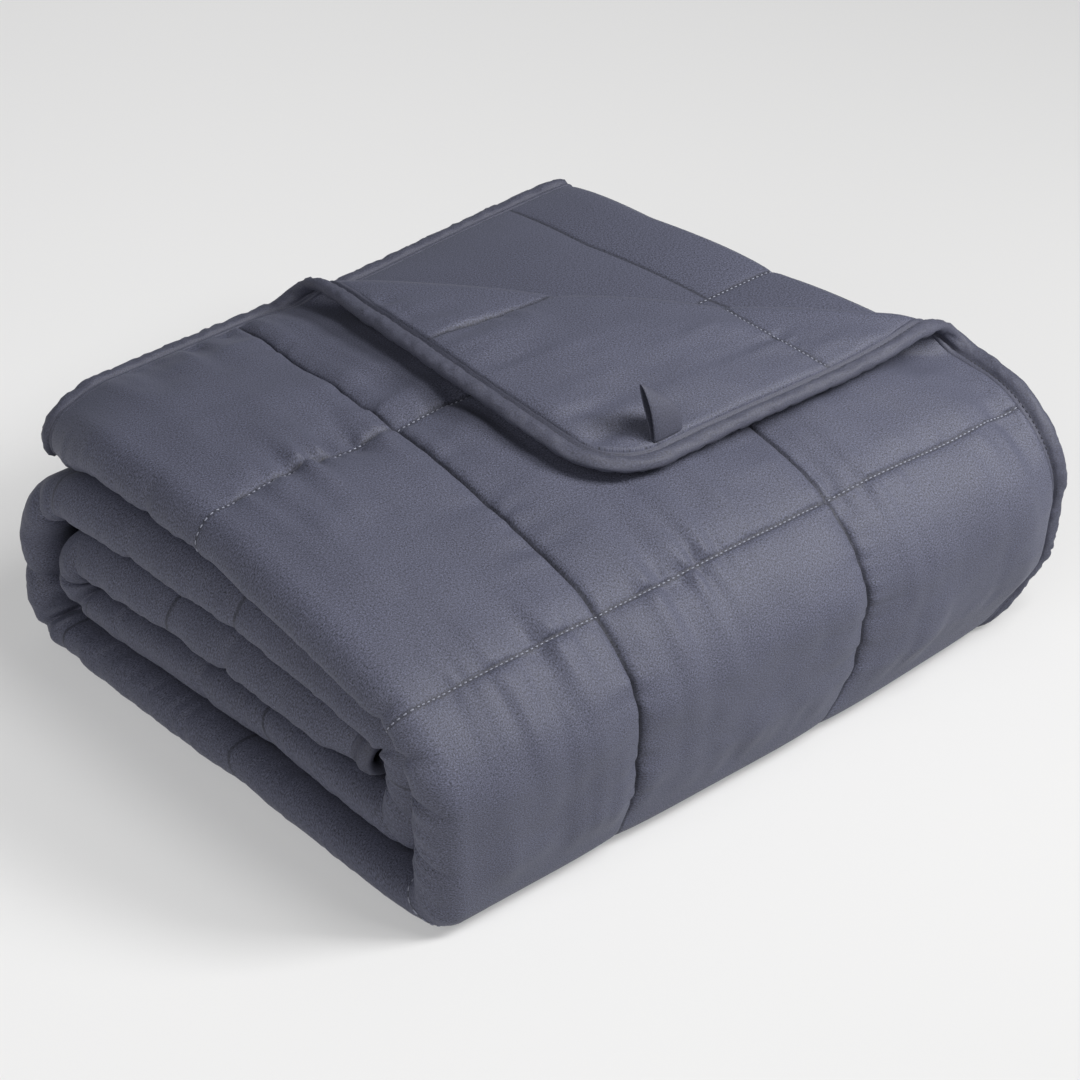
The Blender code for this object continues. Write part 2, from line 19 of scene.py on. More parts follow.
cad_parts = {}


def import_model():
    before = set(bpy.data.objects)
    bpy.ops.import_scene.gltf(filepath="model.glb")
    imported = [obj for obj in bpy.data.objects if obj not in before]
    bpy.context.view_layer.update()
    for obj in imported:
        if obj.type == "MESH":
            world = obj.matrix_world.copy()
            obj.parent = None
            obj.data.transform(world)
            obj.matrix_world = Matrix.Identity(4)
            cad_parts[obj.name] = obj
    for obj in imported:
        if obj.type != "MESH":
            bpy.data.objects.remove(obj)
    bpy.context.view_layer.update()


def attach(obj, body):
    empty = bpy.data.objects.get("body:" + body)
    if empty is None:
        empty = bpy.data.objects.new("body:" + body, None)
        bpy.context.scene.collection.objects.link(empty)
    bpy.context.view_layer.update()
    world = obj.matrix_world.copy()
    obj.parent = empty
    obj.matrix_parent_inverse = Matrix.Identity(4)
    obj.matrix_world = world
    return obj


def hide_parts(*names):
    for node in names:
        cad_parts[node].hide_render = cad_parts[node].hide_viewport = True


# Flat blanket
SQUARE = 0.1524  # one quilted square, seam to seam
COLUMNS = 7.5  # squares across; the last, hidden column is narrow
ROWS = 12  # squares along
FLAT_WIDTH = COLUMNS * SQUARE
FLAT_LENGTH = ROWS * SQUARE
CORNER_RADIUS = 0.026  # rounding of the blanket's corners, flat
PUFF_HALF = 0.00462  # half the thickness in the middle of a square
SEAM_HALF = 0.0012  # half the thickness on a seam and at the rim
PUFF_RUN = 0.28 * SQUARE  # from a seam to the full thickness
OUTER_PUFF = 0.0036  # squares that lie free stand up by this much more
FREE_FADE = 0.2 * SQUARE  # over this length at the end of the free cloth
FOLD_SQUEEZE = 0.28  # share of the thickness lost in the right fold
FOLD_FILL = 0.5  # share of the puff that seams across the left fold keep
CORE_SQUEEZE = 0.25  # the same where the winding starts, inside

# Folded pile
HEIGHT = 1.0 * SQUARE  # of the wound layers, before the crown
LAYERS_PER_PASS = 3
LAYERS = 15  # five passes of the winding
PITCH = HEIGHT / LAYERS  # from one layer to the next
PASS = LAYERS_PER_PASS * PITCH
FACE = 2.23 * SQUARE  # depth of the front face
BACK = -0.01 * SQUARE  # depth of the hindmost bend
LEFT_REACH = 2.78 * SQUARE  # from the right side edge to the left ridge
RIGHT_FOLD = 0.32 * SQUARE  # the hidden right fold lies in by this much
THIRD_EDGE = 2.50 * SQUARE  # side edge of the third layer, from the right
TOP_LAYER_LIMIT = 2.0 * SQUARE  # only cloth nearer than this is turned back
LEFT_FOLD_RADIUS = 0.95 * PITCH
RIGHT_FOLD_RADIUS = 0.50 * PITCH
LEFT_FOLD_TAPER = 0.20 * SQUARE  # where layer 2 comes back up to its level
EDGE_DROOP = 0.9 * PITCH  # how far the free right edge hangs
EDGE_DROOP_RUN = 0.28 * SQUARE
UPPER_END = 2.3 * SQUARE  # along: the droop fades out from here
UPPER_FADE = 0.5 * SQUARE
CORNER_SAG = 0.07 * SQUARE  # how far the left corner at the back hangs
CORNER_SPREAD = 0.22  # share by which its fold opens up
CORNER_RUN = (0.28 * SQUARE, 0.46 * SQUARE)  # reach of both, across and along
LOWER_LAYER_STEP = 0.3  # share of the right edge's step that layers 2 and 3 take
LAYER_SLIP = (0.15 * SQUARE, 0.06 * SQUARE)  # layers 2 and 3 end behind layer 1 by this
SLIP_TURN = (0.4 * SQUARE, 1.8 * SQUARE)  # where the first value turns into the second
SLIP_RUN = 1.5 * SQUARE
CROWN_DEPTH = 0.73 * SQUARE  # depth of the highest line of the pile
CROWN_RADIUS = 4.1 * SQUARE
FLOOR_PRESS = 0.0012  # how much the underside is pressed flat
FOOT_TUCK = 0.06 * SQUARE  # the foot of the front face draws back at the right
FOOT_RUN = (1.3 * SQUARE, 1.1 * SQUARE, 0.5 * SQUARE)  # across, deep and high
WIND_CORNERS = (
    # side before, side after, radius, least radius
    ("top", "front", 0.345 * SQUARE, 1.0 * PITCH),
    ("front", "bottom", 0.12 * SQUARE, 0.9 * PITCH),
    ("bottom", "back", 3.2 * PITCH, 0.9 * PITCH),
    ("back", "top", 5.0 * PITCH, 0.9 * PITCH),
    ("top", "front", 3.0 * PITCH, 0.9 * PITCH),
    ("front", "bottom", 1.8 * PITCH, 0.9 * PITCH),
    ("bottom", "back", 3.0 * PITCH, 0.1 * PITCH),
    ("back", "top", 3.0 * PITCH, 0.1 * PITCH),
)
THIRD_PASS_END = 1.79 * SQUARE  # depth where the inner end of the blanket lies
SIDE_STEPS = (
    # along, left ridge out, right edge in, all in squares
    (0.0, -0.05, 0.00),
    (0.5, 0.00, 0.00),
    (2.4, 0.00, 0.00),
    (2.7, 0.00, 0.06),
    (2.85, 0.00, 0.16),
    (3.0, 0.01, 0.32),
    (4.9, 0.06, 0.30),
    (5.6, 0.08, 0.26),
    (6.2, 0.05, 0.26),
    (7.4, -0.03, 0.22),
    (8.3, -0.05, 0.20),
    (9.6, 0.01, 0.24),
    (10.3, 0.07, 0.28),
    (11.2, 0.01, 0.27),
    (12.0, -0.04, 0.26),
)
FOLD_STEPS = (
    # along, step of the hidden folds at the right, in squares
    (0.0, 0.0),
    (0.5, 0.02),
    (1.0, -0.07),
    (1.35, -0.19),
    (1.7, -0.28),
    (2.3, 0.0),
)

# Turned-back corner
CREASE_ACROSS = 1.845 * SQUARE  # crease meets the end edge here
CREASE_ALONG = 1.755 * SQUARE  # crease meets the side edge here
CREASE_RADIUS = 0.0087
CREASE_PULL = (0.10 * SQUARE, 0.15 * SQUARE)  # pull on its middle, across and along
CREASE_HOLD = 0.70 * SQUARE  # cloth ahead of the crease that gives way to it
FLAP_BOW = 0.0015  # the flap's middle stands this much higher
FLAP_SLIDE = (-0.04 * SQUARE, -0.14 * SQUARE)  # its tip lies off by this
FLAP_SPREAD = (0.22 * SQUARE, 0.05 * SQUARE)  # its edges lie further apart by this
ARCH_HEIGHT = 0.0095  # the side edge stands up by this much near the crease
ARCH_ALONG = (0.24 * SQUARE, 0.62 * SQUARE)  # its top before the crease, and its reach
ARCH_ACROSS = 0.17 * SQUARE  # its width in from the edge
DENT_DEPTH = 0.0085  # the cloth beside it sinks in under the flap
DENT_ACROSS = 0.24 * SQUARE  # its middle, and its reach to both sides
DENT_RUN = 0.5 * SQUARE  # its reach ahead of the crease

# Binding and corner loop
BINDING_WIDTH = 0.0115
LOOP_ALONG = 0.045  # from the blanket's corner to the loop's middle
LOOP_INSET = 0.0022  # from the binding to the middle of its foot

# Middle of the folded part, which lies over the origin
CENTRE_ACROSS = 0.2194
CENTRE_DEPTH = 0.15925

# Camera, as fitted to the photograph's vanishing lines
CAMERA_AZIMUTH = -40.333
CAMERA_ELEVATION = 34.657
CAMERA_DISTANCE = 12.2573 * SQUARE
CAMERA_LENS = 120.0
CAMERA_TARGET = (CENTRE_ACROSS - 1.5212 * SQUARE, CENTRE_DEPTH - 1.1656 * SQUARE, 0.4 * SQUARE)


# -------- winding
# Outer face of each side of the roll, and the way that leads in from it
SIDES = {"top": (HEIGHT, -1.0), "front": (FACE, -1.0), "bottom": (0.0, 1.0), "back": (BACK, 1.0)}


def side_line(side, turn, inward):
    """Place of one straight run, at a distance in from its outer face."""
    start, sign = SIDES[side]
    return start + sign * PASS * turn + sign * inward


def winding(inward):
    """Runs and corners of the winding, for layers that far in.

    A run has its start and end, a corner its centre, radius and start angle,
    with depth before height. Angle 0 points up, and it turns forward and down.
    """
    turn = dict.fromkeys(SIDES, 0)
    entries = []
    depth, height = np.zeros_like(inward), side_line("top", 0, inward)
    angle = 0.0
    for before, after, radius, least in WIND_CORNERS:
        reach = np.maximum(radius - inward, least)
        line_before = side_line(before, turn[before], inward)
        turn[before] += 1
        line_after = side_line(after, turn[after], inward)
        sign = -SIDES[before][1]
        if before in ("top", "bottom"):
            end_depth, end_height = line_after - sign * reach, line_before
            centre_depth, centre_height = end_depth, end_height - sign * reach
        else:
            end_depth, end_height = line_before, line_after + sign * reach
            centre_depth, centre_height = end_depth - sign * reach, end_height
        entries.append(("run", depth, height, end_depth, end_height))
        entries.append(("turn", centre_depth, centre_height, reach, angle))
        angle += 0.5 * math.pi
        depth = centre_depth + reach * math.sin(angle)
        height = centre_height + reach * math.cos(angle)
    last = np.full_like(inward, THIRD_PASS_END)
    entries.append(("run", depth, height, last, height))
    return entries


def entry_starts():
    """Distance along the flat blanket at which each run and corner starts."""
    lengths = []
    for entry in winding(np.array([0.5 * PITCH])):
        if entry[0] == "run":
            lengths.append(float(abs(entry[3] - entry[1])[0] + abs(entry[4] - entry[2])[0]))
        else:
            lengths.append(float(entry[3][0]) * 0.5 * math.pi)
    true_part = sum(lengths[:4])
    ease = (FLAT_LENGTH - true_part) / (sum(lengths) - true_part)
    starts = [0.0]
    for number, length in enumerate(lengths):
        starts.append(starts[-1] + length * (1.0 if number < 4 else ease))
    return starts


STARTS = entry_starts()


def wind_along(along, inward):
    """Depth and height of points that lie in from the outer face."""
    depth = np.zeros_like(along)
    height = np.zeros_like(along)
    entries = winding(inward)
    owner = np.clip(np.searchsorted(STARTS, along, "right") - 1, 0, len(entries) - 1)
    for number, entry in enumerate(entries):
        here = owner == number
        if not here.any():
            continue
        start, end = STARTS[number], STARTS[number + 1]
        share = (along[here] - start) / (end - start)
        if entry[0] == "run":
            d0, h0, d1, h1 = (value[here] for value in entry[1:])
            depth[here] = d0 + (d1 - d0) * share
            height[here] = h0 + (h1 - h0) * share
        else:
            centre_depth, centre_height, reach = (value[here] for value in entry[1:4])
            angle = entry[4] + 0.5 * math.pi * share
            depth[here] = centre_depth + reach * np.sin(angle)
            height[here] = centre_height + reach * np.cos(angle)
    return depth, height


# -------- folding
def smooth(share):
    """Soft step from 0 to 1."""
    share = np.clip(share, 0.0, 1.0)
    return share * share * (3.0 - 2.0 * share)


LEFT_TURN = LEFT_REACH - LEFT_FOLD_RADIUS
RIGHT_TURN = RIGHT_FOLD + RIGHT_FOLD_RADIUS
LEFT_START = LEFT_TURN
LEFT_END = LEFT_START + math.pi * LEFT_FOLD_RADIUS
RIGHT_START = LEFT_END + LEFT_TURN - RIGHT_TURN
RIGHT_END = RIGHT_START + math.pi * RIGHT_FOLD_RADIUS
THIRD_EASE = (FLAT_WIDTH - RIGHT_END) / (THIRD_EDGE - RIGHT_TURN)
LEFT_FOLD_MIDDLE = 0.5 * (LEFT_START + LEFT_END)
RIGHT_FOLD_MIDDLE = 0.5 * (RIGHT_START + RIGHT_END)
CORE_MIDDLE = 0.5 * (STARTS[13] + STARTS[16])  # between the two innermost bends


def fold_across(across, rise):
    """Distance from the right side edge and inward depth of folded points."""
    from_right = across.copy()
    middle = np.full_like(across, 0.5 * PITCH)
    lean = np.zeros_like(across)  # 0 facing out, pi facing in

    fold = (across >= LEFT_START) & (across < LEFT_END)
    lean[fold] = (across[fold] - LEFT_START) / LEFT_FOLD_RADIUS
    from_right[fold] = LEFT_TURN + LEFT_FOLD_RADIUS * np.sin(lean[fold])
    middle[fold] = 0.5 * PITCH + LEFT_FOLD_RADIUS * (1.0 - np.cos(lean[fold]))

    second = (across >= LEFT_END) & (across < RIGHT_START)
    gone = across[second] - LEFT_END
    lean[second] = math.pi
    from_right[second] = LEFT_TURN - gone
    low = 0.5 * PITCH + 2.0 * LEFT_FOLD_RADIUS
    middle[second] = low + (1.5 * PITCH - low) * smooth(gone / LEFT_FOLD_TAPER)

    fold = (across >= RIGHT_START) & (across < RIGHT_END)
    turned = (across[fold] - RIGHT_START) / RIGHT_FOLD_RADIUS
    lean[fold] = math.pi - turned
    from_right[fold] = RIGHT_TURN - RIGHT_FOLD_RADIUS * np.sin(turned)
    middle[fold] = 1.5 * PITCH + RIGHT_FOLD_RADIUS * (1.0 - np.cos(turned))

    third = across >= RIGHT_END
    from_right[third] = RIGHT_TURN + (across[third] - RIGHT_END) / THIRD_EASE
    middle[third] = 2.5 * PITCH

    from_right = from_right + rise * np.sin(lean)
    return from_right, middle - rise * np.cos(lean)


def crease_line():
    """Direction from the corner to the crease, and the distance to it."""
    inward = np.array([1.0 / CREASE_ACROSS, 1.0 / CREASE_ALONG])
    size = float(np.hypot(*inward))
    return inward / size, 1.0 / size


def past_crease(across, along):
    """Distance of flat points past the crease, towards the corner."""
    inward, distance = crease_line()
    return distance - (across * inward[0] + along * inward[1])


def turn_corner(across, along, rise):
    """Roll the corner back over the crease; returns places and lift."""
    inward, distance = crease_line()
    past = past_crease(across, along)
    angle = np.clip(past / CREASE_RADIUS, 0.0, math.pi)
    flat_past = np.minimum(past, 0.0)
    over = np.maximum(past - math.pi * CREASE_RADIUS, 0.0)
    longest = distance - math.pi * CREASE_RADIUS
    reach = CREASE_RADIUS * np.sin(angle) - over - rise * np.sin(angle) + flat_past
    bow = FLAP_BOW * np.sin(math.pi * np.clip(over / longest, 0.0, 1.0))
    lift = CREASE_RADIUS * (1.0 - np.cos(angle)) + rise * np.cos(angle) + bow
    beside = across * inward[1] - along * inward[0]
    ends = CREASE_ACROSS * inward[1], -CREASE_ALONG * inward[0]
    share = (beside - ends[1]) / (ends[0] - ends[1])
    bulge = 4.0 * np.clip(share * (1.0 - share), 0.0, None)
    pull = bulge * smooth(1.0 + past / CREASE_HOLD)
    shift = past - reach
    turned = smooth(over / longest)
    aside = 2.0 * share - 1.0
    moved = []
    for axis, value in enumerate((across, along)):
        value = value + inward[axis] * shift + CREASE_PULL[axis] * pull
        moved.append(value + (FLAP_SLIDE[axis] + FLAP_SPREAD[axis] * aside) * turned)
    gone = np.abs(along - CREASE_ALONG - ARCH_ALONG[0])
    arch = smooth(1.0 - gone / ARCH_ALONG[1]) * smooth(1.0 - across / ARCH_ACROSS)
    rolled = smooth(1.0 - past / (math.pi * CREASE_RADIUS))
    dent = smooth(1.0 - np.abs(across - DENT_ACROSS) / DENT_ACROSS)
    dent = dent * np.where(past < 0.0, smooth(1.0 + past / DENT_RUN), rolled)
    return *moved, lift + ARCH_HEIGHT * arch - DENT_DEPTH * dent


def steps_at(table, along):
    """Each value of a table of steps at flat points, in metres."""
    steps = np.array(table) * SQUARE
    return [np.interp(along, steps[:, 0], column) for column in steps.T[1:]]


def place(across, along, rise):
    """World points of flat points, rise being height over the sheet."""
    on_top = across < TOP_LAYER_LIMIT
    flat = (across, along, rise)
    moved = turn_corner(*flat)
    new_across, new_along, rise = (np.where(on_top, a, b) for a, b in zip(moved, flat))
    from_right, inward = fold_across(new_across, rise)

    layer_two = smooth((new_across - LEFT_END) / SQUARE)
    fade = 1.0 - smooth(new_along / SLIP_RUN)
    to_left = smooth((from_right - SLIP_TURN[0]) / (SLIP_TURN[1] - SLIP_TURN[0]))
    slip = (LAYER_SLIP[0] + (LAYER_SLIP[1] - LAYER_SLIP[0]) * to_left) * layer_two * fade

    hang = 1.0 - smooth(from_right / EDGE_DROOP_RUN)
    upper = 1.0 - smooth((new_along - UPPER_END) / UPPER_FADE)
    first_layer = new_across < LEFT_START
    droop = np.where(first_layer, EDGE_DROOP * hang * upper, 0.0)

    step_out, step_in = steps_at(SIDE_STEPS, new_along)
    from_right = from_right + step_out * smooth(from_right / LEFT_REACH)
    share = np.clip(1.0 - from_right / LEFT_REACH, 0.0, 1.0)
    lower_in = LOWER_LAYER_STEP * step_in + steps_at(FOLD_STEPS, new_along)[0]
    from_right = from_right + share * np.where(first_layer, step_in, lower_in)

    to_left = smooth(1.0 - (LEFT_REACH - from_right) / CORNER_RUN[0])
    to_back = smooth(1.0 - new_along / CORNER_RUN[1])
    corner = to_left * to_back
    inward = inward * (1.0 + CORNER_SPREAD * corner) + CORNER_SAG * corner

    depth, height = wind_along(new_along, inward + droop)
    return settle(from_right, depth - slip, height)


def settle(from_right, depth, height):
    """Low crown over the pile and a pressed, flat underside."""
    tuck = smooth(1.0 - from_right / FOOT_RUN[0]) * smooth(1.0 + (depth - FACE) / FOOT_RUN[1])
    depth = depth - FOOT_TUCK * tuck * smooth(1.0 - height / FOOT_RUN[2])
    crown = 1.0 - (depth - CROWN_DEPTH) ** 2 / (2.0 * CROWN_RADIUS * HEIGHT)
    height = np.maximum(height * crown - FLOOR_PRESS, 0.0)
    return np.stack([CENTRE_ACROSS - from_right, CENTRE_DEPTH - depth, height], axis=1)


# -------- noise
def cell_noise(x, y, seed):
    """Smooth noise of about -1 to 1, one lump to a unit."""
    table = np.random.default_rng(seed).uniform(0.0, 2.0 * math.pi, (97, 89))
    x0, y0 = np.floor(x).astype(int), np.floor(y).astype(int)
    fx, fy = x - x0, y - y0
    sx = fx * fx * fx * (fx * (6.0 * fx - 15.0) + 10.0)
    sy = fy * fy * fy * (fy * (6.0 * fy - 15.0) + 10.0)
    corners = []
    for i in (0, 1):
        for j in (0, 1):
            angle = table[(x0 + i) % 97, (y0 + j) % 89]
            corners.append(np.cos(angle) * (fx - i) + np.sin(angle) * (fy - j))
    low = corners[0] + (corners[2] - corners[0]) * sx
    high = corners[1] + (corners[3] - corners[1]) * sx
    return 1.6 * (low + (high - low) * sy)


def waves(x, y, size, seed, octaves=2):
    """Layered noise, size being the width of its largest lumps."""
    total = np.zeros(np.shape(x))
    for octave in range(octaves):
        turn = 0.7 + 1.3 * octave
        c, s = math.cos(turn), math.sin(turn)
        scale = 2.0 ** octave / size
        px, py = (x * c - y * s) * scale + 31.7, (x * s + y * c) * scale + 17.3
        total += cell_noise(px, py, seed + octave) * 0.5 ** octave
    return total


# -------- quilting
ALONG_SEAM_DEPTH = 0.55  # how deep seams over the winding draw in a free face
ALONG_SEAM_RUN = 0.20 * SQUARE
FREE_ROUNDING = 0.7  # free squares are rounder by this power
SEAM_GROOVE = 0.0009  # the stitches draw in a fine groove
GROOVE_ALONG = 0.0019  # half its width, on seams over the winding
GROOVE_ACROSS = 0.0016  # and on the others
SOFT_LUMPS = ((0.0016, 0.06, 5), (0.0004, 0.018, 7))  # height, size and seed
RIM_FADE = 0.006  # lumps and gathers fade out over this, to the rim
UNDER_EVEN = 0.5  # share of the quilting that the turned-up face evens out
UNDER_PUFF = 0.3  # and of OUTER_PUFF that it keeps


def rise_from(distance, run, power=2.0):
    """Share of the puff at a distance from a seam."""
    share = np.clip(distance / run, 0.0, 1.0)
    return (1.0 - (1.0 - share) ** power) ** (1.0 / power)


def seam_gap(value):
    """Distance to the nearest seam."""
    return np.abs(value - SQUARE * np.round(value / SQUARE))


def rim_gap(value, total):
    """Distance in from the rim of the quilted body."""
    return np.clip(np.minimum(value - BINDING_WIDTH, total - BINDING_WIDTH - value), 0.0, None)


def stitched_gap(value, total):
    """Distance to the nearest seam or to the rim."""
    return np.minimum(seam_gap(value), rim_gap(value, total))


def puff_share(across, along, soft):
    """0 on the seams and at the rim, 1 in the middle of a square."""
    power = 2.0 + FREE_ROUNDING * soft
    columns = rise_from(stitched_gap(across, FLAT_WIDTH), PUFF_RUN, power)
    rows = rise_from(stitched_gap(along, FLAT_LENGTH), PUFF_RUN)
    soft_rows = 1.0 - ALONG_SEAM_DEPTH * (1.0 - rise_from(seam_gap(along), ALONG_SEAM_RUN))
    soft_rows = soft_rows * rise_from(rim_gap(along, FLAT_LENGTH), PUFF_RUN)
    rows = rows + (np.minimum(soft_rows, 1.0) - rows) * soft
    in_fold = 1.0 - smooth(np.abs(across - LEFT_FOLD_MIDDLE) / (0.25 * SQUARE))
    from_ends = np.minimum(along, FLAT_LENGTH - along) - 0.5 * SQUARE
    return columns * np.maximum(rows, FOLD_FILL * in_fold * smooth(from_ends / (0.3 * SQUARE)))


def quilt_half(across, along, soft):
    """Half the thickness of the quilted cloth."""
    half = SEAM_HALF + (PUFF_HALF - SEAM_HALF) * puff_share(across, along, soft)
    in_fold = 1.0 - smooth(np.abs(across - RIGHT_FOLD_MIDDLE) / (0.12 * SQUARE))
    half = half * (1.0 - FOLD_SQUEEZE * in_fold)
    in_core = 1.0 - smooth((np.abs(along - CORE_MIDDLE) - 0.25 * SQUARE) / (0.15 * SQUARE))
    return half * (1.0 - CORE_SQUEEZE * in_core * smooth((across - RIGHT_START) / (0.1 * SQUARE)))


def free_share(across, along, upper):
    """1 where no other layer presses on this face of the cloth."""
    past = past_crease(across, along)
    if upper:
        free = smooth(-past / FREE_FADE) * smooth((LEFT_START - across) / FREE_FADE)
        return free * smooth((STARTS[3] - along) / FREE_FADE)
    turned = past - math.pi * CREASE_RADIUS
    return smooth(turned / FREE_FADE) * (across < TOP_LAYER_LIMIT)


def creases(across, along, size, seed):
    """Soft ridges with sharp valleys between them, from 0 down to about -1."""
    return np.minimum(np.abs(waves(across, along, size, seed)) * 2.0, 1.0) ** 0.7 - 1.0


# Gathers along the seams: broad folds and small ones, each with its height,
# size, stretch away from the seam, fade and seed.
SEAM_GATHERS = {
    "across": ((0.0020, 0.018, 0.14, 0.024, 11), (0.0018, 0.009, 0.30, 0.008, 17)),
    "along": ((0.0050, 0.018, 0.09, 0.042, 23), (0.0030, 0.009, 0.30, 0.012, 29)),
}
GATHER_START = 0.0015  # they rise over this from the stitches
GATHER_PATCH = 0.06  # size of the patches with more and fewer of them


def gathers(kind, gap, beside, away):
    """Small folds that run away from one family of stitched lines."""
    strength = np.clip(0.6 + 0.9 * waves(beside, away, GATHER_PATCH, 13, 1), 0.15, 1.5)
    total = np.zeros_like(gap)
    for height, size, stretch, fade, seed in SEAM_GATHERS[kind]:
        total += height * waves(beside, stretch * away, size, seed) * np.exp(-gap / fade)
    return total * strength * (1.0 - np.exp(-gap / GATHER_START))


def puckers(across, along):
    """Gathers at all seams and at the rim."""
    columns = gathers("across", stitched_gap(across, FLAT_WIDTH), along, across)
    return columns + gathers("along", stitched_gap(along, FLAT_LENGTH), across, along)


# Fold at the left: it hangs out in a lip, with gathers along its lower edge.
RIDGE_LIP = 0.0030
GATHER_SIZE = 0.026
GATHER_DEPTH = 0.0019
RIDGE_PLEATS = (
    # squares along, depth, half width
    (0.72, 0.0022, 0.0032),
    (1.94, 0.0030, 0.0030),
    (2.13, 0.0034, 0.0034),
    (2.36, 0.0040, 0.0036),
    (2.66, 0.0026, 0.0032),
    (5.16, 0.0044, 0.0036),
    (5.47, 0.0050, 0.0040),
    (5.86, 0.0040, 0.0040),
    (6.45, 0.0024, 0.0032),
    (7.80, 0.0034, 0.0034),
    (8.14, 0.0034, 0.0034),
    (8.36, 0.0040, 0.0036),
    (9.35, 0.0028, 0.0036),
    (10.08, 0.0044, 0.0040),
    (10.27, 0.0050, 0.0040),
    (10.46, 0.0040, 0.0036),
    (11.30, 0.0028, 0.0036),
)


def ridge(across, along):
    """Lip, scallops and creases of the fold at the left."""
    lean = (across - LEFT_START) / LEFT_FOLD_RADIUS
    level = np.zeros_like(along)
    lip = np.exp(-((lean - 1.95) / 0.65) ** 2)
    shown = smooth((lean - 0.1) / 1.6) * smooth((4.0 - lean) / 0.8)
    slant = along + 0.25 * (lean - 1.6) * LEFT_FOLD_RADIUS
    bumps = np.minimum(np.abs(waves(slant, level, GATHER_SIZE, 61)), 0.5) ** 0.6
    strength = np.clip(0.7 + 0.8 * waves(along, level + 0.4, 0.07, 63, 1), 0.15, 1.3)
    rise = RIDGE_LIP * lip + GATHER_DEPTH * (bumps - 0.6) * strength * shown
    for row, depth, half_width in RIDGE_PLEATS:
        away = np.abs(slant - row * SQUARE) / half_width
        rise = rise - depth * np.exp(-away ** 1.3) * shown
    rise = rise + 0.00055 * waves(along, 0.35 * across, 0.008, 65) * shown
    return rise * smooth((rim_gap(along, FLAT_LENGTH) - 0.004) / 0.02)


def body_rise(across, along, upper):
    """Height of one face of the quilted cloth over the middle of the sheet."""
    free = free_share(across, along, upper)
    rise = quilt_half(across, along, free)
    if not upper:
        rise = rise + UNDER_EVEN * (PUFF_HALF - rise) * free
    puff = OUTER_PUFF * puff_share(across, along, free) * free
    rise = rise + puff * (1.0 if upper else UNDER_PUFF)
    lumps = sum(height * waves(across, along, size, seed) for height, size, seed in SOFT_LUMPS)
    groove = np.exp(-(seam_gap(along) / GROOVE_ALONG) ** 2)
    groove = groove + np.exp(-(seam_gap(across) / GROOVE_ACROSS) ** 2)
    lumps = lumps - SEAM_GROOVE * groove
    rim = np.minimum(rim_gap(across, FLAT_WIDTH), rim_gap(along, FLAT_LENGTH))
    rise = rise + (lumps + puckers(across, along)) * smooth(rim / RIM_FADE) * free
    return rise + ridge(across, along) if upper else -rise


# -------- flat meshes
def hidden_zones(fine_step):
    """Zones inside the pile, closer where the cloth bends."""
    return (
        (0.00, 7.50, 1.85, 3.10, 0.0140, 0.0060),
        (0.00, 7.50, 4.95, 6.20, 0.0140, 0.0060),
        (0.00, 7.50, 7.65, 8.60, 0.0140, fine_step),
        (0.00, 7.50, 10.02, 10.66, 0.0140, fine_step),
        (0.00, 7.50, 0.00, 12.0, 0.0140, 0.0140),
    )


# Zones of the flat mesh, the finest first: across from and to, along from and
# to, all in squares, then the spacing of its points across and along.
UPPER_ZONES = (
    (0.00, 2.60, 0.00, 3.15, 0.0031, 0.0031),
    (2.60, 3.04, 0.00, 12.0, 0.0025, 0.0024),
    (0.00, 2.70, 4.85, 6.30, 0.0050, 0.0040),
    (5.20, 5.46, 0.00, 12.0, 0.0030, 0.0080),
) + hidden_zones(0.0035)
LOWER_ZONES = (
    (0.00, 1.95, 0.00, 1.95, 0.0030, 0.0030),
    (3.30, 5.46, 0.00, 1.55, 0.0038, 0.0038),
    (2.62, 3.02, 0.00, 12.0, 0.0045, 0.0080),
    (5.20, 5.46, 1.55, 12.0, 0.0030, 0.0080),
) + hidden_zones(0.0040)
# Seams that show: across or along, which seam, from and to in squares.
UPPER_SEAMS = (
    ("across", 1, 0.08, 3.10),
    ("across", 2, 0.08, 3.10),
    ("along", 1, 0.08, 2.95),
    ("along", 2, 0.08, 2.95),
    ("along", 3, 0.08, 2.95),
)
LOWER_SEAMS = (
    ("across", 1, 0.08, 1.00),
    ("along", 1, 0.08, 1.00),
    ("across", 4, 0.08, 1.50),
    ("across", 5, 0.08, 1.50),
    ("along", 1, 3.35, 5.40),
)
SEAM_OFFSETS = (0.0, 0.0010, 0.0026, 0.0047)  # rows of points beside a seam
SEAM_STEP = 0.0018
SEAM_CLEAR = 0.0012  # the other points stay this far from those rows
SEAM_ENDS = 0.001  # and from their ends
CROSSING_CLEAR = 0.0005  # and rows that cross, from each other
RIM_CLEAR = 0.0016  # and all of them from the rim
FINE_STEP = 0.0032  # zones closer than this are thinned out where they hide,
FINE_END = 2.7  # if they end before this, in squares across
THIN_STEP = 0.003  # points near every fourth multiple of this are kept there
THIN_EVERY = 4
UPPER_MARGIN = 0.03  # the upper face is fine up to this far past the crease
LOWER_MARGIN = -0.01  # and the lower face from here on
RIM_STEP = 0.0032


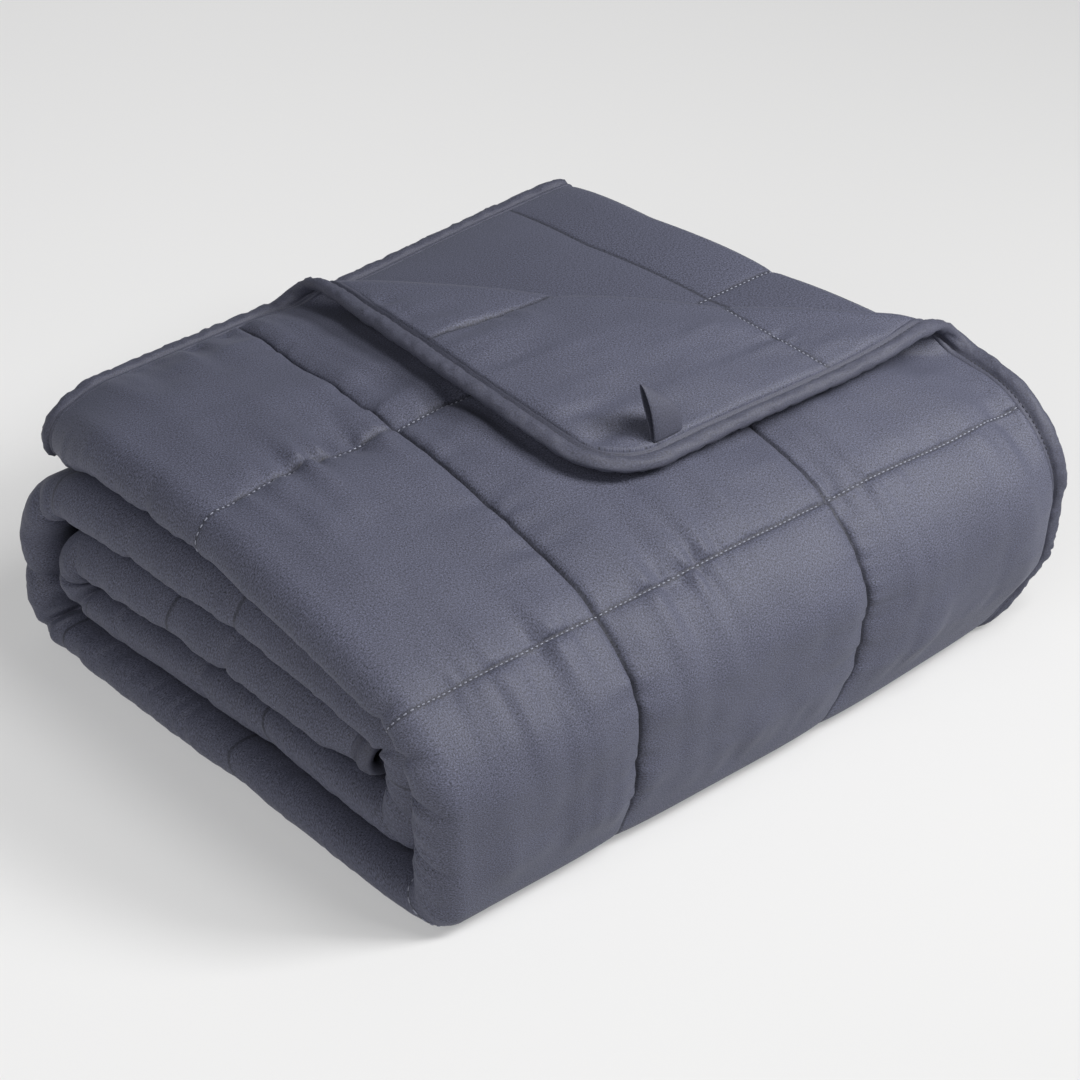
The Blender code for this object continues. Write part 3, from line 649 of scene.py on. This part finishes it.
def outline_points(inset, step):
    """Rounded rectangle, that far in from the blanket's edge."""
    radius = CORNER_RADIUS + (BINDING_WIDTH - inset)
    points = []
    centres = (
        (inset + radius, inset + radius, math.pi),
        (FLAT_WIDTH - inset - radius, inset + radius, 1.5 * math.pi),
        (FLAT_WIDTH - inset - radius, FLAT_LENGTH - inset - radius, 0.0),
        (inset + radius, FLAT_LENGTH - inset - radius, 0.5 * math.pi),
    )
    for number, (x, y, start) in enumerate(centres):
        turns = max(6, int(0.5 * math.pi * radius / step))
        for angle in np.linspace(start, start + 0.5 * math.pi, turns + 1):
            points.append((x + radius * math.cos(angle), y + radius * math.sin(angle)))
        after = centres[(number + 1) % 4]
        angle = start + 0.5 * math.pi
        first = np.array(points[-1])
        last = np.array(after[:2]) + radius * np.array([math.cos(angle), math.sin(angle)])
        count = max(1, int(round(np.linalg.norm(last - first) / step)))
        for share in np.arange(1, count) / count:
            points.append(tuple(first + (last - first) * share))
    return np.array(points)


def inside_outline(points, inset):
    """Which flat points lie well inside the rounded rectangle."""
    radius = CORNER_RADIUS + BINDING_WIDTH - inset
    half = np.array([0.5 * FLAT_WIDTH, 0.5 * FLAT_LENGTH])
    away = np.abs(points - half) - (half - inset - radius)
    return np.linalg.norm(np.maximum(away, 0.0), axis=1) < radius


def seam_points(seams):
    """Rows of points beside the seams that show."""
    rows = []
    for kind, number, start, end in seams:
        places = np.arange(start * SQUARE, end * SQUARE, SEAM_STEP)
        line = number * SQUARE
        for offset in SEAM_OFFSETS:
            for side in ((1, -1) if offset else (1,)):
                fixed = np.full(len(places), line + side * offset)
                row = np.stack([fixed, places], axis=1)
                if kind == "along":
                    row = row[seam_gap(places) > SEAM_OFFSETS[-1] + CROSSING_CLEAR, ::-1]
                rows.append(row)
    return np.concatenate(rows)


def near_seams(points, seams):
    """Which flat points stand where the seams have rows of their own."""
    near = np.zeros(len(points), bool)
    reach = SEAM_OFFSETS[-1] + SEAM_CLEAR
    for kind, number, start, end in seams:
        beside, away = (points if kind == "across" else points[:, ::-1]).T
        close = np.abs(beside - number * SQUARE) < reach
        near |= close & (away > start * SQUARE - SEAM_ENDS) & (away < end * SQUARE + SEAM_ENDS)
    return near


def zone_points(zones, seams, upper):
    """Points of the flat mesh inside its outline."""
    chosen, taken = [], []
    for left, right, back, front, step_across, step_along in zones:
        across = np.arange(left * SQUARE + 0.5 * step_across, right * SQUARE, step_across)
        along = np.arange(back * SQUARE + 0.5 * step_along, front * SQUARE, step_along)
        grid = np.stack(np.meshgrid(across, along), axis=-1).reshape(-1, 2)
        keep = np.ones(len(grid), bool)
        for low, high in taken:
            keep &= ~((grid > low) & (grid < high)).all(axis=1)
        grid = grid[keep]
        if step_across < FINE_STEP and right < FINE_END:
            past = past_crease(grid[:, 0], grid[:, 1])
            shown = past < UPPER_MARGIN if upper else past > LOWER_MARGIN
            sparse = (np.round(grid / THIN_STEP) % THIN_EVERY == 0).all(axis=1)
            grid = grid[shown | sparse]
        chosen.append(grid)
        taken.append((np.array([left, back]) * SQUARE, np.array([right, front]) * SQUARE))
    points = np.concatenate(chosen)
    points = points[~near_seams(points, seams)]
    points = np.concatenate([points, seam_points(seams)])
    return points[inside_outline(points, BINDING_WIDTH + RIM_CLEAR)]


def triangulate(outline, points):
    """Triangles over the outline's points, then the inner points."""
    every = np.concatenate([outline, points])
    count = len(outline)
    vectors = [Vector(point) for point in every.tolist()]
    made = delaunay_2d_cdt(vectors, [], [list(range(count))], 1, 1e-7)
    flat = np.array([point[:] for point in made[0]])
    faces = np.array(made[2])
    origin = np.full(count, -1)
    for index, sources in enumerate(made[3]):
        for source in sources:
            if source < count:
                origin[source] = index
    a, b, c = (flat[faces[:, i]] for i in range(3))
    area = (b[:, 0] - a[:, 0]) * (c[:, 1] - a[:, 1]) - (b[:, 1] - a[:, 1]) * (c[:, 0] - a[:, 0])
    faces[area < 0.0] = faces[area < 0.0][:, ::-1]
    return flat, faces[np.abs(area) > 1e-12], origin


# -------- pieces
def grid_quads(ids, flip):
    """Faces between the rows of a grid of point numbers."""
    quads = np.stack([ids[:-1, :-1], ids[:-1, 1:], ids[1:, 1:], ids[1:, :-1]], axis=-1)
    return quads.reshape(-1, 4)[:, ::-1] if flip else quads.reshape(-1, 4)


def add_object(name, data):
    """One object in the scene."""
    thing = bpy.data.objects.new(name, data)
    bpy.context.scene.collection.objects.link(thing)
    return thing


def add_mesh(name, points, faces, flat, material):
    """One smooth mesh object; flat is its map in metres, one row a point."""
    mesh = bpy.data.meshes.new(name)
    corners = [face for group in faces for face in group.tolist()]
    mesh.from_pydata(points.tolist(), [], corners)
    mesh.validate()
    layer = mesh.uv_layers.new(name="flat_cloth")
    spots = np.concatenate([group.ravel() for group in faces])
    layer.data.foreach_set("uv", flat.astype(np.float32)[spots].ravel())
    mesh.shade_smooth()
    mesh.materials.append(material)
    return add_object(name, mesh)


def quilted_cloth(material):
    """Both faces of the quilted cloth, joined round the rim."""
    outline = outline_points(BINDING_WIDTH, RIM_STEP)
    sides = []
    faces_of = ((UPPER_ZONES, UPPER_SEAMS, True), (LOWER_ZONES, LOWER_SEAMS, False))
    for zones, seams, upper in faces_of:
        flat, faces, rim = triangulate(outline, zone_points(zones, seams, upper))
        points = place(flat[:, 0], flat[:, 1], body_rise(flat[:, 0], flat[:, 1], upper))
        sides.append((points, faces, flat, rim))
    points, faces, flats, rims = zip(*sides)
    count = len(flats[0])
    upper_rim, lower_rim = rims[0], rims[1] + count
    strip = [upper_rim, lower_rim, np.roll(lower_rim, -1), np.roll(upper_rim, -1)]
    faces = (faces[0], faces[1][:, ::-1] + count, np.stack(strip, axis=1))
    return add_mesh("quilted_cloth", np.concatenate(points), faces, np.concatenate(flats), material)


# Section of the binding: distance out from the body's rim as a share of its
# width, and half its thickness. The first entries are its stitched inner edge.
BINDING_SECTION = (
    (-0.13, 0.00150),
    (-0.10, 0.00215),
    (0.02, 0.00235),
    (0.09, 0.00200),
    (0.15, 0.00050),
    (0.22, 0.00070),
    (0.27, 0.00210),
    (0.36, 0.00310),
    (0.52, 0.00365),
    (0.72, 0.00350),
    (0.88, 0.00260),
    (0.97, 0.00140),
    (1.00, 0.00030),
)
BINDING_STEP = 0.0022
BINDING_GATHER = 0.0014  # height of its gathers
GATHER_LENGTH = 0.011
BINDING_WOBBLE = 0.0005  # how far its outer edge wanders
WOBBLE_LENGTH = 0.022


def ring_normals(ring):
    """Outward direction at each point of a closed flat ring."""
    along = np.roll(ring, -1, axis=0) - np.roll(ring, 1, axis=0)
    along /= np.linalg.norm(along, axis=1)[:, None]
    return np.stack([along[:, 1], -along[:, 0]], axis=1)


def edge_binding(material):
    """Tape folded over the edge, one closed ring round the blanket."""
    ring = outline_points(BINDING_WIDTH, BINDING_STEP)
    normal = ring_normals(ring)
    gone = np.concatenate([[0.0], np.cumsum(np.linalg.norm(np.diff(ring, axis=0), axis=1))])
    level = np.zeros_like(gone)
    wobble = BINDING_WOBBLE * waves(gone, level + 0.3, WOBBLE_LENGTH, 47)
    section = list(BINDING_SECTION) + [(share, -half) for share, half in reversed(BINDING_SECTION)]
    loops, maps = [], []
    for number, (share, half) in enumerate(section):
        sign = 1.0 if half > 0 else -1.0
        slant = gone + 0.4 * share * BINDING_WIDTH
        gather = creases(slant, level + 0.0025 * number * sign, GATHER_LENGTH, 41) + 0.3
        swell = 0.15 + smooth((share - 0.15) / 0.3)
        height = half + sign * BINDING_GATHER * gather * swell * min(1.0, abs(half) / 0.002)
        reach = share * BINDING_WIDTH + wobble * max(share, 0.0)
        flat = ring + normal * reach[:, None]
        loops.append(place(flat[:, 0], flat[:, 1], height))
        maps.append(np.stack([gone, level + 0.0016 * number], axis=1))
    points = np.concatenate(loops)
    ids = np.arange(len(points)).reshape(len(section), len(ring))
    ids = np.pad(ids, ((0, 1), (0, 1)), mode="wrap")
    faces = np.roll(grid_quads(ids, True), 1, axis=1)
    return add_mesh("edge_binding_tape", points, (faces,), np.concatenate(maps), material)


# Corner loop: half its opening and its height, up one leg to the top.
LOOP_LEG = (
    (0.0005, 0.0000),
    (0.0008, 0.0040),
    (0.0013, 0.0090),
    (0.0018, 0.0145),
    (0.0019, 0.0200),
    (0.0015, 0.0250),
    (0.0008, 0.0284),
    (0.0003, 0.0298),
)
LOOP_THICK = 0.0016
LOOP_FOOT = 0.0195  # width of the tape at its foot
LOOP_TAPER = 0.42  # share of that width lost at the top
LOOP_LEAN = 0.0085  # its top leans back by this
LOOP_DROP = 0.30  # share of its height lost from one edge to the other
LOOP_OPEN = (1.2, 0.5)  # share of that opening at one edge, and how much less at the other
LOOP_SINK = 0.0006  # its foot lies this deep in the cloth
LOOP_ROWS = 11  # points over its width


def corner_loop(material):
    """Folded tape that stands on the turned-back corner."""
    foot = np.array([BINDING_WIDTH + LOOP_INSET]), np.array([LOOP_ALONG])
    base = place(*foot, body_rise(*foot, False))[0]
    path = np.array(LOOP_LEG + tuple((-side, height) for side, height in reversed(LOOP_LEG)))
    along = np.gradient(path, axis=0)
    along /= np.linalg.norm(along, axis=1)[:, None]
    out = np.stack([along[:, 1], -along[:, 0]], axis=1)
    high = path[:, 1] / path[:, 1].max()
    points, flat = [], []
    for face in (1.0, 0.0):
        for share in np.linspace(0.0, 1.0, LOOP_ROWS):
            edge = 1.0 - abs(2.0 * share - 1.0) ** 6 * 0.5
            opening = LOOP_OPEN[0] - LOOP_OPEN[1] * share
            spot = path * np.array([opening, 1.0]) + out * LOOP_THICK * face * edge
            taper = 1.0 - LOOP_TAPER * high ** 5
            x = -0.5 * LOOP_FOOT + share * LOOP_FOOT * taper - 0.001 * high
            y = spot[:, 0] + LOOP_LEAN * high ** 1.6
            points.append(np.stack([x, y, spot[:, 1] * (1.0 - LOOP_DROP * share)], axis=1))
            flat.append(np.stack([x, np.arange(len(path)) * 0.004], axis=1))
    points = np.concatenate(points) + base - np.array([0.0, 0.0, LOOP_SINK])
    ids = np.arange(len(points)).reshape(2, LOOP_ROWS, len(path))
    faces = (
        grid_quads(ids[0], False),
        grid_quads(ids[1], True),
        grid_quads(ids[:, 0].T, False),
        grid_quads(ids[:, -1].T, True),
        grid_quads(ids[:, :, 0], False),
        grid_quads(ids[:, :, -1], True),
    )
    piece = add_mesh("corner_loop_tape", points, faces, np.concatenate(flat), material)
    bevel = piece.modifiers.new("round", "SUBSURF")
    bevel.levels = bevel.render_levels = 2
    return piece


# -------- stitches
STITCH_PITCH = 0.0031
STITCH_LENGTH = 0.0017
STITCH_RADIUS = 0.00040
STITCH_LIFT = {"across": -0.0003, "along": 0.0001}  # over the seams of each family
BINDING_STITCH_IN = BINDING_WIDTH * 0.815  # its stitched line, from the outer edge
BINDING_STITCH_LIFT = 0.0007


def stitch_bodies(starts, ends, normals):
    """A small rounded bead of thread from each start to each end."""
    axis = ends - starts
    length = np.linalg.norm(axis, axis=1)[:, None]
    axis = axis / length
    side = np.cross(axis, normals)
    side /= np.linalg.norm(side, axis=1)[:, None]
    up = np.cross(side, axis)
    rings = ((0.0, 0.0), (0.12, 0.75), (0.5, 1.0), (0.88, 0.75), (1.0, 0.0))
    spokes = 6
    points = []
    for share, width in rings:
        centre = starts + axis * length * share
        for spoke in range(spokes):
            angle = 2.0 * math.pi * spoke / spokes
            offset = side * math.cos(angle) + up * math.sin(angle)
            points.append(centre + offset * STITCH_RADIUS * max(width, 0.05))
    points = np.stack(points, axis=1)
    ids = np.pad(np.arange(len(rings) * spokes).reshape(-1, spokes), ((0, 0), (0, 1)), mode="wrap")
    shift = np.arange(len(starts)) * len(rings) * spokes
    faces = grid_quads(ids, False)[None, :, :] + shift[:, None, None]
    return points.reshape(-1, 3), faces.reshape(-1, 4)


def stitch_line(across, along, upper, lift, on_cloth):
    """Starts, ends and face directions of stitches along a flat path."""
    gone = np.concatenate([[0.0], np.cumsum(np.hypot(np.diff(across), np.diff(along)))])
    places = np.arange(0.3 * STITCH_PITCH, gone[-1] - STITCH_PITCH, STITCH_PITCH)
    sign = 1.0 if upper else -1.0
    spots = []
    for shift, step in ((0.0, 0.0), (STITCH_LENGTH, 0.0), (0.0, 0.0002)):
        x, y = (np.interp(places + shift, gone, value) for value in (across, along))
        rise = body_rise(x, y, upper) if on_cloth else np.zeros(len(x))
        spots.append(place(x, y, rise + sign * lift + sign * step))
    starts, ends, over = spots
    normals = over - starts
    return starts, ends, normals / np.linalg.norm(normals, axis=1)[:, None]


def seam_stitches(kind, number, start, end, upper):
    """Stitches along the part of one seam that shows."""
    places = np.arange(start * SQUARE, end * SQUARE, 0.001)
    fixed = np.full(len(places), number * SQUARE)
    across, along = (fixed, places) if kind == "across" else (places, fixed)
    past = past_crease(across, along)
    if upper:
        shown = past < 0.0
    elif across.max() < TOP_LAYER_LIMIT:
        shown = past > math.pi * CREASE_RADIUS * 0.5
    else:
        shown = np.ones(len(places), bool)
    return stitch_line(across[shown], along[shown], upper, STITCH_LIFT[kind], True)


def binding_stitches():
    """Stitches along the parts of the binding that show."""
    ring = outline_points(BINDING_STITCH_IN, 0.001)
    across, along = ring[:, 0], ring[:, 1]
    past = past_crease(across, along)
    top = (past < 0.0) & (across < 3.0 * SQUARE) & (along < 3.2 * SQUARE)
    at_end = along < 0.2 * SQUARE
    groups = (
        (top & at_end, True),
        (top & (across < 0.2 * SQUARE) & (along > SQUARE), True),
        (past > 0.0, False),
        (at_end & (across > 2.9 * SQUARE) & (across < 5.4 * SQUARE), False),
    )
    lines = []
    for shown, upper in groups:
        path = ring[shown]
        gaps = np.linalg.norm(np.diff(path, axis=0), axis=1)
        if gaps.max() > 0.01:
            cut = int(gaps.argmax()) + 1
            path = np.concatenate([path[cut:], path[:cut]])
        lines.append(stitch_line(*path.T, upper, BINDING_STITCH_LIFT, False))
    return lines


def stitches(name, sunk, material):
    """Thread that shows on the seams, or that is sunk in them and in the binding."""
    wanted = "across" if sunk else "along"
    lines = []
    for seams, upper in ((UPPER_SEAMS, True), (LOWER_SEAMS, False)):
        lines += [seam_stitches(*seam, upper) for seam in seams if seam[0] == wanted]
    if sunk:
        lines += binding_stitches()
    starts, ends, normals = (np.concatenate([line[i] for line in lines]) for i in range(3))
    points, faces = stitch_bodies(starts, ends, normals)
    return add_mesh(name, points, (faces,), points[:, :2], material)


# -------- materials
def feed(tree, node, inputs):
    """Fill a node's inputs with numbers, colours or other nodes' outputs."""
    for key, value in inputs.items():
        if isinstance(value, bpy.types.NodeSocket):
            tree.links.new(value, node.inputs[key])
        else:
            node.inputs[key].default_value = value


def add_node(tree, kind, inputs, output, **settings):
    """One filled node; returns the named output."""
    node = tree.nodes.new("ShaderNode" + kind)
    for key, value in settings.items():
        setattr(node, key, value)
    feed(tree, node, inputs)
    return node.outputs[output]


def add_noise(tree, vector, scale, detail, roughness=0.5):
    """Layered noise on a vector."""
    inputs = {"Vector": vector, "Scale": scale, "Detail": detail, "Roughness": roughness}
    return add_node(tree, "TexNoise", inputs, "Fac")


def map_range(tree, source, limits, kind="LINEAR"):
    """Map an output; limits are from low, from high, to low and to high."""
    inputs = dict(zip(("From Min", "From Max", "To Min", "To Max"), limits), Value=source)
    return add_node(tree, "MapRange", inputs, "Result", interpolation_type=kind)


def combine(tree, operation, first, second):
    """One step of mathematics on two outputs or numbers."""
    return add_node(tree, "Math", {0: first, 1: second}, "Value", operation=operation)


def tinted(tree, colour, factor):
    """One colour times an output."""
    return add_node(tree, "VectorMath", {0: colour, "Scale": factor}, "Vector", operation="SCALE")


PAINTED_GROOVE_SHADE = (0.0003, 0.0018, 0.50, 1.0)  # reach of the painted shade along the seam grooves, and its share
SLATE = (0.0650, 0.0680, 0.1010)
DARK_SLATE = (0.0520, 0.0540, 0.0800)
PALE_GREY = (0.24, 0.25, 0.31)
# Painted shadow: near-black thread stands for the shadow in the seam and binding grooves.
GROOVE_SHADOW_BLACK = (0.030, 0.031, 0.042)
WEAVE_SCALE = 1650.0
WEAVE_STRETCHES = ((1.0, 0.6, 1.0), (0.6, 1.0, 1.0))
NOISE_MIDDLE = (0.30, 0.70)  # the range of noise that the mottle is spread over
PATCHES = (0.95, 1.05)  # faint light and dark patches
ROUGHNESS = (0.56, 0.76)
FLOOR_ALBEDO = (0.425, 0.445)
FLOOR_PAINTED_LIGHT = (-0.725, 0.725, 1.33, 0.75)  # painted light: the floor's colour is lighter at one side of the pile
FLOOR_ACROSS = (0.716, -0.698, 0.0)  # the direction in which it fades
WHOLE = (0.0, 1.0)  # range of a plain noise


def painted_groove_shade(tree, flat):
    """Painted shade: a darker line in the grooves where the stitches draw the cloth in."""
    half = 0.5 * SQUARE
    sides = [add_node(tree, "SeparateXYZ", {"Vector": flat}, axis) for axis in "XY"]
    gaps = [combine(tree, "PINGPONG", side, half) for side in sides]
    return map_range(tree, combine(tree, "MINIMUM", *gaps), PAINTED_GROOVE_SHADE, "SMOOTHSTEP")


def cloth_material(name, colour, mottle, weave_depth, paint_groove_shade=False):
    """Brushed woven cloth with a fine heathered mottle, and, if asked, painted shade along the seam
    grooves.
    """
    material = bpy.data.materials.new(name)
    material.use_nodes = True
    tree = material.node_tree
    flat = add_node(tree, "UVMap", {}, "UV", uv_map="flat_cloth")
    threads = []
    for stretch in WEAVE_STRETCHES:
        spot = add_node(tree, "Mapping", {"Vector": flat, "Scale": stretch}, "Vector")
        threads.append(add_noise(tree, spot, WEAVE_SCALE, 2.0, 0.75))
    inputs = {"Factor": 0.5, "A": threads[0], "B": threads[1]}
    weave = add_node(tree, "Mix", inputs, "Result", data_type="FLOAT")
    fine = map_range(tree, weave, NOISE_MIDDLE + (1.0 - mottle, 1.0 + mottle))
    wide = map_range(tree, add_noise(tree, flat, 22.0, 3.0, 0.55), NOISE_MIDDLE + PATCHES)
    shade = combine(tree, "MULTIPLY", fine, wide)
    # Painted shade: the colour darkens along the seam grooves.
    if paint_groove_shade:
        shade = combine(tree, "MULTIPLY", shade, painted_groove_shade(tree, flat))
    bump = {"Strength": 0.6, "Distance": weave_depth, "Height": weave}
    feed(tree, tree.nodes["Principled BSDF"], {
        "Base Color": tinted(tree, colour, shade),
        "Roughness": map_range(tree, weave, WHOLE + ROUGHNESS),
        "Normal": add_node(tree, "Bump", bump, "Normal"),
        "Specular IOR Level": 0.48,
        "Sheen Weight": 0.08,
        "Sheen Roughness": 0.5,
        "Sheen Tint": (0.55, 0.6, 0.75, 1.0),
    })
    return material


def floor_material():
    """Almost white studio floor, with painted light: its colour is lighter towards one side of the
    pile, and it glows faintly to lift the shadows on it.
    """
    material = bpy.data.materials.new("studio_floor")
    material.use_nodes = True
    tree = material.node_tree
    spot = add_node(tree, "TexCoord", {}, "Object")
    albedo = map_range(tree, add_noise(tree, spot, 1.5, 2.0), WHOLE + FLOOR_ALBEDO)
    # Painted light: the floor's colour grows lighter towards one side of the pile.
    inputs = {0: spot, 1: FLOOR_ACROSS}
    across = add_node(tree, "VectorMath", inputs, "Value", operation="DOT_PRODUCT")
    fade = map_range(tree, across, FLOOR_PAINTED_LIGHT, "SMOOTHSTEP")
    shade = combine(tree, "MULTIPLY", albedo, fade)
    feed(tree, tree.nodes["Principled BSDF"], {
        "Base Color": tinted(tree, (1.0, 0.995, 0.99), shade),
        "Roughness": 0.9,
        "Specular IOR Level": 0.1,
        # Painted light: the floor glows faintly, which lifts the shadows on it.
        "Emission Color": (1.0, 1.0, 1.0, 1.0),
        "Emission Strength": 0.30,
    })
    return material


# -------- stage
def aim(thing, target):
    """Turn an object so that its own -Z points at the target."""
    way = Vector(target) - thing.location
    thing.rotation_euler = way.to_track_quat("-Z", "Y").to_euler()


def add_camera():
    """The photograph's viewpoint."""
    azimuth, elevation = math.radians(CAMERA_AZIMUTH), math.radians(CAMERA_ELEVATION)
    flat = math.cos(elevation)
    back = Vector((math.sin(azimuth) * flat, -math.cos(azimuth) * flat, math.sin(elevation)))
    camera = add_object("camera", bpy.data.cameras.new("camera"))
    camera.data.sensor_width = 36.0
    camera.data.lens = CAMERA_LENS
    camera.data.clip_end = 50.0
    camera.location = Vector(CAMERA_TARGET) + back * CAMERA_DISTANCE
    aim(camera, CAMERA_TARGET)
    bpy.context.scene.camera = camera


FLOOR_HALF = 9.0  # half its side
FLOOR_DROP = 0.0004  # it lies this far under the cloth


def add_floor():
    """Large plain floor under the pile."""
    mesh = bpy.data.meshes.new("floor")
    corners = [(x * FLOOR_HALF, y * FLOOR_HALF, 0) for x, y in ((-1, -1), (1, -1), (1, 1), (-1, 1))]
    mesh.from_pydata(corners, [], [(0, 1, 2, 3)])
    mesh.materials.append(floor_material())
    floor = add_object("floor", mesh)
    floor.location.z = -FLOOR_DROP


# Soft lamps round the pile: name, azimuth, elevation, distance, size, power
LAMPS = (
    ("key_lamp", -48.0, 40.0, 1.5, 0.45, 21.0),
    ("high_lamp", -62.0, 64.0, 2.4, 0.8, 24.0),
    ("left_lamp", 200.0, 30.0, 2.4, 1.8, 23.0),
    ("right_lamp", 60.0, 60.0, 2.4, 2.0, 3.0),
)
LAMP_AIM = Vector((0.0, 0.0, 0.08))


def add_lights():
    """Large soft lamps and a faint surround."""
    for name, azimuth, elevation, distance, size, power in LAMPS:
        lamp = bpy.data.lights.new(name, "AREA")
        lamp.shape = "SQUARE"
        lamp.size = size
        lamp.energy = power
        turn, rise = math.radians(azimuth), math.radians(elevation)
        flat = math.cos(rise)
        way = Vector((math.cos(turn) * flat, math.sin(turn) * flat, math.sin(rise)))
        thing = add_object(name, lamp)
        thing.location = LAMP_AIM + way * distance
        aim(thing, LAMP_AIM)
    world = bpy.data.worlds.new("studio")
    bpy.context.scene.world = world
    world.use_nodes = True
    backdrop = world.node_tree.nodes["Background"]
    backdrop.inputs["Color"].default_value = (0.97, 0.985, 1.0, 1.0)
    backdrop.inputs["Strength"].default_value = 0.13


def main():
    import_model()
    bpy.context.scene.view_settings.view_transform = "Standard"
    add_camera()
    add_floor()
    add_lights()
    # This cloth gets painted shade along its seam grooves.
    cloth = cloth_material("slate_cloth", SLATE, 1.25, 0.00030, True)
    tape = cloth_material("slate_tape", DARK_SLATE, 0.80, 0.00025)
    thread = cloth_material("pale_thread", PALE_GREY, 0.10, 0.0001)
    # Near-black thread on the sunk stitches paints the shadow in the grooves.
    painted_shadow_thread = cloth_material("painted_shadow_thread", GROOVE_SHADOW_BLACK, 0.10, 0.0001)
    body = quilted_cloth(cloth)
    binding = edge_binding(tape)
    loop = corner_loop(tape)
    thread_work = stitches("stitches", False, thread)
    sunk_shadow_work = stitches("sunk_stitches_painted_shadow", True, painted_shadow_thread)
    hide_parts("quilted_body")
    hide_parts("edge_binding")
    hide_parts("corner_loop")
    for piece in (body, binding, loop, thread_work, sunk_shadow_work):
        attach(piece, "root")


main()
